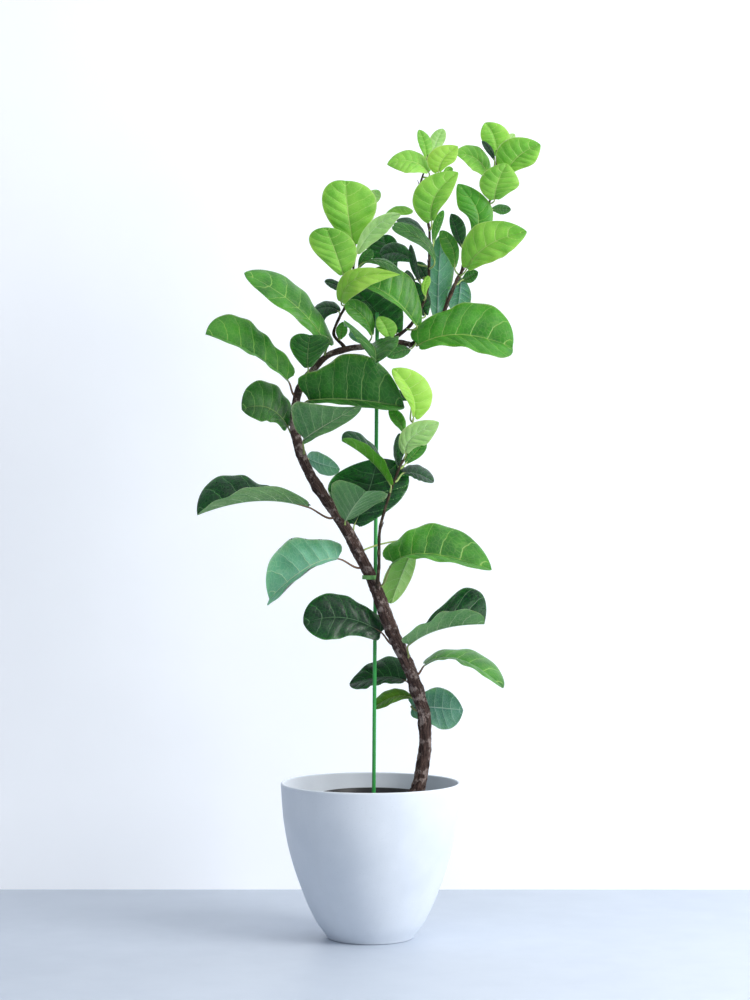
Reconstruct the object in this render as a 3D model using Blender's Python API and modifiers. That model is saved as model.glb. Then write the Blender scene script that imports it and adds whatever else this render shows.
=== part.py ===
"""Potted fiddle leaf fig: a stoneware planter, a nursery pot of soil inside it, a support stake with its tie,
a woody trunk with four side shoots, and its leaves."""

import bpy
import numpy as np
from mathutils import Vector

CM = 0.01

# Driving dimensions, in centimetres unless a name says otherwise.
POT_HEIGHT = 34.8
POT_RIM_RADIUS = 20.2
POT_FOOT_RADIUS = 9.8
POT_WALL = 0.6
POT_FLOOR = 0.8
NURSERY_X = 0.4
NURSERY_BASE_Z = 0.83
NURSERY_RIM_Z = 32.2
NURSERY_RIM_RADIUS = 12.0
NURSERY_WALL = 0.22
SOIL_TOP_Z = 30.7
TRUNK_X = 9.6
TRUNK_Y = -1.0
TRUNK_FOOT_Z = 23.0
TRUNK_FOOT_RADIUS = 1.62
STAKE_RADIUS = 0.42
STAKE_FOOT = (0.55, 0.0, 8.0)
STAKE_TOP = (1.5, 0.0, 138.8)
TIE_Z = 81.0
TIE_HEIGHT = 0.9
TIE_THICK = 0.14
PETIOLE_RADIUS = 0.17
BLADE_HALF_THICK = 0.06
RIB_DEPTH = 0.14
ROUND_STEPS = 48
STATIONS = (0.0, 0.05, 0.16, 0.32, 0.5, 0.68, 0.82, 0.92, 0.975, 0.997)

# Each stem is a run of points: across, back, up and radius, in centimetres.
TRUNK = (
    (9.6, -1.0, 23.0, 1.60), (9.6, -1.0, 31.2, 1.62), (10.6, -1.0, 33.6, 1.58), (11.8, -1.0, 39.0, 1.50),
    (12.2, -1.1, 44.5, 1.42), (12.0, -1.2, 50.0, 1.50), (10.9, -1.4, 54.0, 1.50), (9.7, -1.6, 58.0, 1.45),
    (8.0, -1.9, 62.0, 1.45), (6.1, -2.4, 66.0, 1.45), (4.3, -2.6, 70.0, 1.50), (2.9, -2.6, 74.0, 1.55),
    (1.4, -2.4, 78.0, 1.40), (-0.4, -2.3, 82.0, 1.35), (-2.4, -2.4, 86.0, 1.35), (-4.5, -2.5, 90.0, 1.35),
    (-7.0, -2.4, 94.0, 1.30), (-9.7, -2.2, 98.0, 1.25), (-12.4, -1.8, 102.0, 1.20), (-14.5, -1.4, 106.0, 1.15),
    (-16.1, -1.0, 110.0, 1.10), (-17.1, -0.5, 115.0, 1.00), (-16.8, 0.0, 120.0, 0.92), (-15.7, 0.5, 124.0, 0.88),
    (-13.0, 1.0, 127.6, 0.80), (-9.5, 1.4, 131.0, 0.72), (-5.0, 1.8, 132.5, 0.68), (-2.0, 2.1, 132.9, 0.66),
    (2.0, 2.3, 133.2, 0.64), (6.0, 2.4, 133.9, 0.62), (9.0, 2.4, 133.5, 0.58),
)
SIDE_SHOOT = (
    (1.5, -4.1, 79.2, 0.42), (1.65, -5.1, 80.8, 0.40), (1.9, -5.2, 84.0, 0.36), (2.0, -5.2, 91.0, 0.34),
    (3.3, -5.0, 96.5, 0.32), (5.0, -4.6, 101.8, 0.30), (6.7, -4.4, 106.0, 0.28), (8.0, -4.2, 108.4, 0.26),
    (8.8, -3.9, 112.0, 0.24), (9.6, -3.6, 116.5, 0.20),
)
LEFT_SHOOT = (
    (-6.4, 1.5, 133.4, 0.40), (-8.3, 1.3, 135.8, 0.34), (-7.0, 1.0, 139.5, 0.32), (-5.5, 0.6, 142.4, 0.30),
    (-4.5, 0.4, 147.0, 0.28), (-3.8, 0.2, 151.0, 0.26), (-3.5, 0.0, 155.5, 0.24), (-2.0, 0.0, 161.0, 0.22),
    (0.0, 0.2, 166.0, 0.18),
)
MIDDLE_SHOOT = (
    (5.7, 2.4, 135.1, 0.45), (7.5, 2.4, 136.4, 0.40), (9.2, 2.2, 138.0, 0.38), (11.0, 2.0, 141.0, 0.36),
    (12.4, 1.8, 144.0, 0.34), (13.1, 1.5, 148.0, 0.32), (13.2, 1.2, 152.0, 0.30), (13.3, 1.0, 158.0, 0.28),
    (12.9, 0.8, 161.0, 0.27), (12.0, 0.6, 165.0, 0.25), (11.2, 0.4, 169.0, 0.23), (12.3, 0.2, 173.0, 0.20),
    (13.0, 0.0, 176.0, 0.16),
)
RIGHT_SHOOT = (
    (9.6, 2.35, 133.65, 0.50), (12.6, 2.0, 135.4, 0.50), (14.8, 1.6, 137.5, 0.48), (16.3, 1.2, 140.0, 0.46),
    (17.3, 1.0, 142.8, 0.44), (19.3, 0.6, 147.5, 0.40), (20.5, 0.4, 149.8, 0.38), (21.5, 0.3, 154.0, 0.34),
    (23.0, 0.2, 158.0, 0.32), (25.0, 0.1, 162.0, 0.30), (27.0, 0.0, 166.0, 0.28), (28.0, 0.0, 170.0, 0.25),
    (28.3, 0.0, 174.0, 0.22), (28.3, 0.0, 177.0, 0.18),
)

STEMS = {
    "trunk": TRUNK,
    "side_shoot": SIDE_SHOOT,
    "left_shoot": LEFT_SHOOT,
    "middle_shoot": MIDDLE_SHOOT,
    "right_shoot": RIGHT_SHOOT,
}

# Half width along the blade, as a share of the widest: a mature lyre shape and a plain oval one.
# Share of the full half width along a blade, up to where it is widest, and how roundly it closes after that.
OUTLINES = {
    "lyre": ((0.0, 0.10), (0.05, 0.40), (0.14, 0.57), (0.28, 0.64), (0.42, 0.79), (0.56, 0.95), (0.68, 1.0)),
    "oval": ((0.0, 0.08), (0.08, 0.28), (0.2, 0.54), (0.35, 0.80), (0.5, 0.96), (0.62, 1.0)),
    "drop": ((0.0, 0.08), (0.08, 0.34), (0.2, 0.66), (0.35, 0.92), (0.5, 1.0)),
    "spoon": ((0.0, 0.15), (0.05, 0.45), (0.12, 0.72), (0.22, 0.93), (0.34, 1.0)),
    "spear": ((0.0, 0.12), (0.05, 0.40), (0.12, 0.70), (0.22, 0.95), (0.32, 1.0)),
    "fan": ((0.0, 0.06), (0.12, 0.20), (0.3, 0.32), (0.45, 0.52), (0.6, 0.86), (0.74, 1.0)),
}
ROUNDING = {
    "lyre": (2.3, 0.5),
    "oval": (2.1, 0.5),
    "drop": (1.8, 0.75),
    "spoon": (1.4, 0.9),
    "spear": (1.15, 1.3),
    "fan": (2.4, 0.5),
}

# Each leaf, in centimetres: name, stem, height where it leaves the stem, foot of the blade, middle of the
# midrib, tip, left and right edges where the blade is widest, and outline.
LEAVES = (
    ("leaf_01", "trunk", 50.8, (9.3, 1.2, 51.8), (15.0, 3.2, 51.3), (21.0, 4.5, 50.6), (16.5, 2.5, 46.4), (15.5, 4.5, 55.8), "lyre"),
    ("leaf_02", "trunk", 53.8, (9.0, -0.8, 54.0), (5.0, 0.8, 54.0), (0.7, 1.6, 51.4), (3.9, -1.2, 52.1), (3.6, 3.0, 55.2), "oval"),
    ("leaf_03", "trunk", 56.3, (8.0, 1.5, 57.5), (2.5, 4.5, 58.2), (-4.8, 5.0, 56.6), (-1.0, 1.6, 55.8), (4.2, 7.5, 62.6), "lyre/spoon"),
    ("leaf_04", "trunk", 58.6, (12.2, -2.5, 61.4), (20.0, -4.0, 62.6), (29.6, -5.5, 56.4), (24.8, 2.0, 63.6), (22.5, -8.5, 61.0), "lyre"),
    ("leaf_05", "trunk", 62.7, (8.5, -4.8, 66.0), (15.5, -7.0, 69.7), (25.3, -7.0, 70.8), (21.8, -2.0, 78.6), (18.5, -11.5, 74.0), "fan/lyre"),
    ("leaf_06", "trunk", 66.3, (2.4, -1.5, 68.6), (-6.0, -3.6, 72.0), (-15.0, -4.8, 70.8), (-8.5, -6.5, 67.2), (-8.5, -1.6, 77.4), "lyre"),
    ("leaf_07", "trunk", 78.4, (5.0, -4.2, 84.3), (13.0, -6.0, 86.3), (27.0, -6.0, 82.8), (15.5, -1.0, 92.9), (16.5, -10.5, 84.6), "lyre"),
    ("leaf_08", "trunk", 86.5, (9.6, 1.5, 87.4), (7.3, 3.5, 82.0), (4.6, 4.5, 74.8), (3.2, 4.0, 81.2), (9.4, 5.0, 80.8), "oval"),
    ("leaf_09", "trunk", 83.6, (-7.2, -3.5, 85.1), (-14.0, -5.0, 83.2), (-22.5, -5.5, 76.2), (-19.4, 0.0, 88.6), (-19.5, -9.0, 77.8), "lyre"),
    ("leaf_10", "trunk", 92.5, (-5.6, -4.6, 93.6), (-3.8, -9.5, 96.6), (-1.0, -14.0, 100.2), (3.6, -9.0, 99.0), (-8.4, -9.0, 102.0), "drop"),
    ("leaf_11", "trunk", 90.5, (-3.6, -1.6, 92.8), (-0.5, -2.0, 100.0), (1.5, -1.8, 107.6), (-9.4, 0.2, 102.0), (8.5, -1.4, 101.5), "oval"),
    ("leaf_12", "trunk", 94.8, (-13.8, -4.5, 96.7), (-25.5, -7.0, 98.2), (-38.5, -7.0, 95.0), (-24.0, -9.5, 101.4), (-32.4, -2.0, 104.0), "spoon/fan"),
    ("leaf_13", "trunk", 106.0, (-14.0, 2.0, 107.5), (-11.5, 4.0, 106.5), (-7.0, 5.0, 105.3), (-10.5, 3.0, 103.9), (-11.8, 5.5, 109.2), "oval"),
    ("leaf_14", "trunk", 108.3, (-14.8, -3.8, 111.8), (-10.0, -8.0, 114.8), (-2.2, -10.5, 119.2), (-6.4, -12.0, 114.6), (-16.4, -7.5, 120.2), "lyre/spear"),
    ("leaf_15", "trunk", 113.0, (-18.6, 0.5, 114.8), (-23.0, -1.0, 119.0), (-28.9, -2.0, 118.6), (-24.0, -4.5, 115.8), (-23.5, 2.5, 125.2), "lyre"),
    ("leaf_16", "trunk", 118.5, (-13.8, -2.6, 120.6), (-4.3, -4.2, 120.7), (7.6, -4.0, 119.1), (-3.4, -5.0, 131.0), (0.0, -7.5, 118.6), "lyre"),
    ("leaf_17", "trunk", 126.2, (-14.0, -1.5, 127.9), (-14.0, -4.0, 131.2), (-13.4, -6.7, 134.9), (-18.0, -5.0, 133.4), (-9.0, -5.0, 133.4), "oval"),
    ("leaf_18", "trunk", 121.5, (-18.6, -1.0, 125.2), (-27.0, -1.5, 131.5), (-37.0, -2.0, 135.5), (-29.0, -6.0, 132.0), (-28.6, 2.5, 139.4), "lyre"),
    ("leaf_19", "trunk", 130.5, (-9.9, -0.5, 133.2), (-17.0, -3.0, 142.0), (-28.2, -4.5, 149.0), (-20.8, -5.5, 141.6), (-17.0, 1.5, 147.2), "lyre"),
    ("leaf_20", "side_shoot", 100.0, (4.5, -6.5, 101.7), (0.2, -9.0, 107.0), (-6.3, -10.5, 111.4), (0.2, -13.0, 109.8), (-1.6, -6.0, 112.6), "oval"),
    ("leaf_21", "side_shoot", 114.5, (9.7, -4.5, 117.0), (9.2, -5.5, 122.0), (5.0, -6.0, 127.6), (6.7, -7.0, 122.5), (13.4, -4.5, 123.5), "oval"),
    ("leaf_22", "side_shoot", 107.5, (7.8, -6.0, 108.6), (9.2, -7.5, 112.2), (15.2, -8.0, 115.5), (8.0, -8.0, 114.6), (12.4, -7.0, 110.6), "drop"),
    ("leaf_23", "side_shoot", 104.0, (6.3, -2.5, 105.5), (5.8, -1.5, 109.0), (6.5, -1.0, 113.3), (5.1, -3.0, 110.0), (7.8, -1.0, 110.0), "oval"),
    ("leaf_24", "side_shoot", 102.5, (7.3, -3.6, 104.3), (10.5, -2.5, 104.2), (14.2, -2.0, 102.3), (11.3, 0.5, 106.0), (11.0, -5.0, 102.6), "oval"),
    ("leaf_25", "trunk", 132.9, (-0.3, -2.3, 132.7), (0.9, -6.8, 132.0), (1.2, -12.5, 128.3), (6.2, -8.0, 134.0), (-5.9, -6.6, 138.0), "lyre"),
    ("leaf_26", "right_shoot", 133.95, (8.8, 0.6, 132.3), (7.0, -0.5, 131.9), (3.6, -1.5, 130.6), (7.0, -1.5, 130.2), (5.5, 1.0, 133.2), "oval"),
    ("leaf_27", "right_shoot", 134.6, (10.6, -1.2, 133.0), (20.0, -3.0, 135.3), (31.8, -3.5, 132.4), (24.5, 0.5, 142.8), (25.4, -7.6, 130.6), "lyre"),
    ("leaf_28", "trunk", 133.0, (0.3, -0.9, 135.4), (-1.5, -2.4, 139.3), (-5.5, -3.4, 142.4), (-4.0, -4.0, 138.8), (-0.9, -1.6, 142.0), "oval"),
    ("leaf_29", "trunk", 133.3, (4.3, 0.0, 134.6), (3.4, -1.5, 137.0), (1.8, -2.0, 139.5), (1.6, -2.2, 136.5), (5.8, -1.0, 137.5), "oval"),
    ("leaf_30", "middle_shoot", 136.0, (5.8, 5.0, 136.2), (1.5, 6.0, 141.0), (-3.5, 6.5, 146.2), (-3.0, 6.0, 140.0), (6.0, 7.0, 144.0), "oval"),
    ("leaf_31", "middle_shoot", 137.0, (10.4, -0.8, 137.4), (5.5, -3.5, 143.0), (-2.0, -5.0, 147.2), (1.0, -6.5, 144.5), (7.5, -1.5, 149.5), "oval"),
    ("leaf_32", "left_shoot", 138.8, (-7.2, 3.2, 141.0), (-9.5, 4.0, 142.0), (-12.8, 4.2, 141.3), (-10.5, 2.0, 138.8), (-10.0, 6.0, 143.6), "oval"),
    ("leaf_33", "left_shoot", 142.0, (-6.6, -2.2, 142.6), (-3.0, -5.5, 147.6), (6.6, -6.5, 148.4), (-5.6, -4.6, 149.0), (-2.6, -7.6, 144.2), "spoon"),
    ("leaf_34", "left_shoot", 147.0, (-6.0, -3.0, 148.6), (-7.9, -5.2, 153.8), (-9.9, -5.8, 159.0), (-13.5, -5.4, 155.2), (-3.3, -5.2, 155.0), "oval"),
    ("leaf_35", "left_shoot", 154.0, (-3.8, -1.0, 155.7), (-5.0, -2.2, 162.5), (-5.6, -2.6, 169.8), (-10.9, -2.6, 165.0), (1.4, -2.0, 165.0), "oval"),
    ("leaf_36", "left_shoot", 151.0, (-3.0, -2.6, 153.5), (1.6, -5.9, 159.4), (6.8, -6.6, 161.7), (0.0, -7.6, 160.0), (3.4, -4.2, 157.8), "drop"),
    ("leaf_37", "middle_shoot", 150.5, (14.4, -1.5, 151.8), (11.8, -3.6, 156.2), (5.2, -4.2, 159.6), (8.2, -5.4, 156.4), (10.2, -2.6, 159.4), "oval"),
    ("leaf_38", "middle_shoot", 151.0, (9.4, 3.5, 152.5), (6.0, 5.0, 154.5), (2.4, 6.0, 153.8), (5.0, 3.0, 152.0), (5.0, 7.0, 157.0), "oval"),
    ("leaf_39", "middle_shoot", 148.5, (5.5, 9.5, 150.3), (4.0, 11.0, 155.0), (3.0, 11.5, 159.2), (-1.0, 11.0, 156.0), (6.2, 10.5, 157.0), "oval"),
    ("leaf_40", "middle_shoot", 159.0, (13.7, -1.2, 161.0), (14.6, -3.2, 166.5), (19.6, -4.0, 171.5), (9.8, -3.2, 167.4), (17.4, -4.0, 165.6), "drop"),
    ("leaf_41", "middle_shoot", 169.0, (13.0, -1.6, 171.9), (8.9, -2.6, 174.2), (3.7, -3.0, 173.4), (8.2, -4.6, 171.2), (9.8, -0.8, 176.8), "drop"),
    ("leaf_42", "middle_shoot", 171.0, (15.2, -2.4, 171.8), (16.4, -3.2, 174.8), (19.5, -3.6, 177.4), (13.0, -3.2, 175.6), (18.8, -3.0, 174.0), "drop"),
    ("leaf_43", "middle_shoot", 174.2, (12.6, 1.4, 175.4), (12.2, 1.6, 178.5), (10.9, 1.6, 181.9), (10.8, 1.0, 178.6), (13.9, 2.2, 179.0), "oval"),
    ("leaf_44", "right_shoot", 138.0, (15.2, 3.6, 138.9), (15.4, 5.0, 148.0), (16.0, 5.0, 158.6), (19.0, 5.0, 151.0), (12.6, 4.6, 149.0), "oval"),
    ("leaf_45", "right_shoot", 148.8, (21.6, -2.2, 150.2), (26.4, -5.0, 155.2), (34.8, -6.0, 158.0), (23.4, -3.0, 159.6), (28.8, -8.0, 151.8), "drop"),
    ("leaf_46", "right_shoot", 156.0, (23.2, -0.9, 158.2), (24.0, -1.4, 163.0), (19.6, -1.8, 169.2), (19.9, -1.8, 163.4), (27.4, -0.8, 163.6), "drop"),
    ("leaf_47", "right_shoot", 165.0, (27.8, -2.3, 165.6), (28.4, -4.0, 169.2), (30.4, -4.6, 173.4), (24.4, -4.0, 169.8), (33.2, -4.0, 168.6), "drop"),
    ("leaf_48", "right_shoot", 169.0, (26.8, 1.4, 171.0), (23.9, 1.2, 175.2), (19.2, 1.0, 176.3), (22.6, -0.8, 172.6), (24.4, 3.2, 178.2), "drop"),
    ("leaf_49", "right_shoot", 174.0, (28.6, 1.8, 176.0), (27.9, 1.2, 180.0), (25.8, 0.9, 183.4), (25.0, 1.0, 179.5), (31.4, 1.2, 180.5), "oval"),
    ("leaf_50", "right_shoot", 171.0, (30.4, -1.8, 171.6), (33.3, -3.0, 175.4), (38.0, -3.4, 177.8), (29.2, -3.0, 178.0), (36.2, -3.8, 173.2), "drop"),
)


def clear_scene():
    for item in list(bpy.data.objects):
        bpy.data.objects.remove(item, do_unlink=True)


def collection(name):
    made = bpy.data.collections.new(name)
    bpy.context.scene.collection.children.link(made)
    return made


def material(name, colour, rough, metal=0.0):
    made = bpy.data.materials.new(name)
    made.use_nodes = True
    shader = made.node_tree.nodes["Principled BSDF"]
    shader.inputs["Base Color"].default_value = (*colour, 1.0)
    shader.inputs["Roughness"].default_value = rough
    shader.inputs["Metallic"].default_value = metal
    return made


def finish(item, folder, look, smooth=True):
    folder.objects.link(item)
    item.data.materials.append(look)
    if item.type == "MESH":
        for face in item.data.polygons:
            face.use_smooth = smooth
    return item


def mesh_object(name, points, faces, folder, look, smooth=True):
    mesh = bpy.data.meshes.new(name)
    mesh.from_pydata([tuple(float(v) * CM for v in p) for p in points], [], faces)
    mesh.validate()
    return finish(bpy.data.objects.new(name, mesh), folder, look, smooth)


def turned(name, profile, folder, look, steps=ROUND_STEPS, centre=0.0):
    """A closed round body: the profile is (radius, height) pairs from the axis, round the outside, to the axis."""
    mesh = bpy.data.meshes.new(name)
    points = [(r * CM, 0.0, z * CM) for r, z in profile]
    mesh.from_pydata(points, [(i, i + 1) for i in range(len(points) - 1)], [])
    item = finish(bpy.data.objects.new(name, mesh), folder, look)
    item.location.x = centre * CM
    screw = item.modifiers.new("turn", "SCREW")
    screw.steps = steps
    screw.render_steps = steps
    screw.use_merge_vertices = True
    screw.merge_threshold = 0.0001
    screw.use_smooth_shade = True
    screw.use_normal_calculate = True
    return item


def tube(name, points, folder, look):
    """A stem: a straight-sided curve whose radius follows its points, with closed ends."""
    data = bpy.data.curves.new(name, "CURVE")
    data.dimensions = "3D"
    data.bevel_depth = CM
    data.bevel_resolution = 2
    data.use_fill_caps = True
    line = data.splines.new("POLY")
    line.points.add(len(points) - 1)
    for spot, (x, y, z, r) in zip(line.points, points, strict=True):
        spot.co = (x * CM, y * CM, z * CM, 1.0)
        spot.radius = r
    return finish(bpy.data.objects.new(name, data), folder, look)


def cylinder(name, foot, top, radius, sides, folder):
    """A closed straight cutter between two points."""
    foot, top = Vector(foot), Vector(top)
    along = (top - foot).normalized()
    side = along.cross(Vector((0.0, 1.0, 0.0))).normalized()
    other = along.cross(side)
    points = []
    for end in (foot, top):
        for i in range(sides):
            turn = 2.0 * np.pi * i / sides
            points.append(end + side * (radius * np.cos(turn)) + other * (radius * np.sin(turn)))
    faces = [tuple(reversed(range(sides))), tuple(range(sides, 2 * sides))]
    for i in range(sides):
        j = (i + 1) % sides
        faces.append((i, j, sides + j, sides + i))
    mesh = bpy.data.meshes.new(name)
    mesh.from_pydata([tuple(p * CM) for p in points], [], faces)
    item = bpy.data.objects.new(name, mesh)
    folder.objects.link(item)
    item.hide_render = True
    item.display_type = "WIRE"
    return item


def cut(item, cutter):
    boolean = item.modifiers.new(cutter.name, "BOOLEAN")
    boolean.operation = "DIFFERENCE"
    boolean.solver = "EXACT"
    boolean.object = cutter


def eased(table, t):
    """A smooth line through the pairs of a table, level at its last one."""
    x = np.array([pair[0] for pair in table])
    y = np.array([pair[1] for pair in table])
    slope = np.gradient(y, x)
    slope[-1] = 0.0
    i = int(np.clip(np.searchsorted(x, t) - 1, 0, len(x) - 2))
    h = x[i + 1] - x[i]
    u = (t - x[i]) / h
    start = (2 * u**3 - 3 * u**2 + 1) * y[i] + (u**3 - 2 * u**2 + u) * h * slope[i]
    end = (3 * u**2 - 2 * u**3) * y[i + 1] + (u**3 - u**2) * h * slope[i + 1]
    return start + end


def half_width(t, outline):
    table = OUTLINES[outline]
    widest = table[-1][0]
    if t <= widest:
        return eased(table, t)
    power, root = ROUNDING[outline]
    return (1.0 - ((t - widest) / (1.0 - widest)) ** power) ** root


def unit(v):
    return v / np.linalg.norm(v)


def swing(a, b, v):
    """The vector v, turned the shortest way that takes the direction a to the direction b."""
    a, b = unit(a), unit(b)
    axis = np.cross(a, b)
    first = np.cross(axis, v)
    return v + first + np.cross(axis, first) / (1.0 + a @ b)


def stem_point(stem, height):
    """Centre, direction and radius of a stem at a height."""
    points = STEMS[stem]
    for low, high in zip(points, points[1:]):
        if low[2] <= height <= high[2]:
            share = (height - low[2]) / (high[2] - low[2])
            low, high = np.array(low), np.array(high)
            spot = low + (high - low) * share
            return spot[:3], unit(high[:3] - low[:3]), spot[3]
    raise ValueError(stem)


def blade_ring(spine, left, right, tangent, t, outlines, length):
    """The eight points round the blade at one station, from the left edge over the top to the right edge."""
    normal = unit(np.cross(right - left, tangent))
    wide = [half_width(t, outline) for outline in outlines]
    lobe = (t / 0.06) * np.exp(1.0 - t / 0.06) if t < 0.6 else 0.0

    def spot(s):
        wing = left * wide[0] if s < 0.0 else right * wide[1]
        share = abs(s)
        bulge = normal * (0.2 * np.linalg.norm(wing) * (share - share * share))
        return spine + wing * share + bulge - unit(tangent) * (0.06 * length * share**2 * lobe)

    top = normal * BLADE_HALF_THICK
    return [
        spot(-1.0),
        spot(-0.5) + top,
        spine + top,
        spot(0.5) + top,
        spot(1.0),
        spot(0.5) - top,
        spine - normal * RIB_DEPTH,
        spot(-0.5) - top,
    ]


def petiole_ring(centre, along, normal, radius):
    along = unit(along)
    up = unit(normal - along * (normal @ along))
    side = np.cross(along, up)
    ring = []
    for degrees in (180, 135, 90, 45, 0, -45, -90, -135):
        turn = np.radians(degrees)
        ring.append(centre + side * (radius * np.cos(turn)) + up * (radius * np.sin(turn)))
    return ring


def leaf(name, stem, height, foot, middle, tip, left, right, outline, folder, look):
    """One leaf: a round stalk from the stem that widens into a thin blade with a raised midrib."""
    foot, middle, tip, left, right = (np.array(v, float) for v in (foot, middle, tip, left, right))
    outlines = outline.split("/")
    outlines = (outlines[0], outlines[-1])
    widest = [OUTLINES[side][-1][0] for side in outlines]
    length = np.linalg.norm(tip - foot)

    def spine(t):
        return foot * (1 - t) * (1 - 2 * t) + middle * 4 * t * (1 - t) + tip * t * (2 * t - 1)

    def tangent(t):
        return foot * (4 * t - 3) + middle * (4 - 8 * t) + tip * (4 * t - 1)

    def wings(t):
        return [swing(tangent(w), tangent(t), edge - spine(w)) for w, edge in zip(widest, (left, right))]

    blade = []
    for t in STATIONS:
        blade.append(blade_ring(spine(t), *wings(t), tangent(t), t, outlines, length))
    first = wings(0.0)
    normal = unit(np.cross(first[1] - first[0], tangent(0.0)))

    centre, grain, radius = stem_point(stem, height)
    out = foot - centre
    out = unit(out - grain * (out @ grain))
    start = centre + out * (radius + 0.08)
    reach = np.linalg.norm(foot - start)
    rings = [petiole_ring(start, out, normal, PETIOLE_RADIUS * 1.15)]
    for u in (0.35, 0.75):
        h0 = 2 * u**3 - 3 * u**2 + 1
        h1 = u**3 - 2 * u**2 + u
        h2 = 3 * u**2 - 2 * u**3
        h3 = u**3 - u**2
        end = unit(tangent(0.0))
        spot = start * h0 + out * (reach * h1) + foot * h2 + end * (reach * h3)
        way = (start - foot) * (6 * u**2 - 6 * u) + out * (reach * (3 * u**2 - 4 * u + 1))
        way = way + end * (reach * (3 * u**2 - 2 * u))
        rings.append(petiole_ring(spot, way, normal, PETIOLE_RADIUS))
    rings += blade

    points = [p for ring in rings for p in ring]
    faces = [tuple(reversed(range(8)))]
    for i in range(len(rings) - 1):
        for j in range(8):
            a, b = 8 * i + j, 8 * i + (j + 1) % 8
            if j < 4:
                faces += [(a, b, b + 8), (a, b + 8, a + 8)]
            else:
                faces += [(a, b, a + 8), (b, b + 8, a + 8)]
    last = 8 * (len(rings) - 1)
    faces.append(tuple(last + j for j in range(8)))
    return mesh_object(name, points, faces, folder, look)


def tie(name, folder, look):
    """A flat band round the trunk and the stake, with straight runs between them."""
    trunk, _, radius = stem_point("trunk", TIE_Z)
    share = (TIE_Z - STAKE_FOOT[2]) / (STAKE_TOP[2] - STAKE_FOOT[2])
    stake = np.array(STAKE_FOOT) + (np.array(STAKE_TOP) - np.array(STAKE_FOOT)) * share
    big, small = radius * 1.12 + 0.28, STAKE_RADIUS + 0.06
    a, b = trunk[:2], stake[:2]
    span = np.linalg.norm(b - a)
    heading = np.arctan2(*(b - a)[::-1])
    lean = np.arccos((big - small) / span)
    turns = []
    for i in range(17):
        turns.append((a, big, heading + lean + (2 * np.pi - 2 * lean) * i / 16))
    for i in range(9):
        turns.append((b, small, heading - lean + 2 * lean * i / 8))
    count = len(turns)
    points = []
    for z in (TIE_Z - TIE_HEIGHT / 2, TIE_Z + TIE_HEIGHT / 2):
        for extra in (0.0, TIE_THICK):
            for centre, radius, turn in turns:
                x = centre[0] + (radius + extra) * np.cos(turn)
                y = centre[1] + (radius + extra) * np.sin(turn)
                points.append((x, y, z))
    faces = []
    for i in range(count):
        j = (i + 1) % count
        inner, outer, inner_top, outer_top = 0, count, 2 * count, 3 * count
        faces.append((outer + i, outer + j, outer_top + j, outer_top + i))
        faces.append((inner + j, inner + i, inner_top + i, inner_top + j))
        faces.append((inner_top + i, outer_top + i, outer_top + j, inner_top + j))
        faces.append((inner + j, outer + j, outer + i, inner + i))
    return mesh_object(name, points, faces, folder, look, smooth=False)


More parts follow.
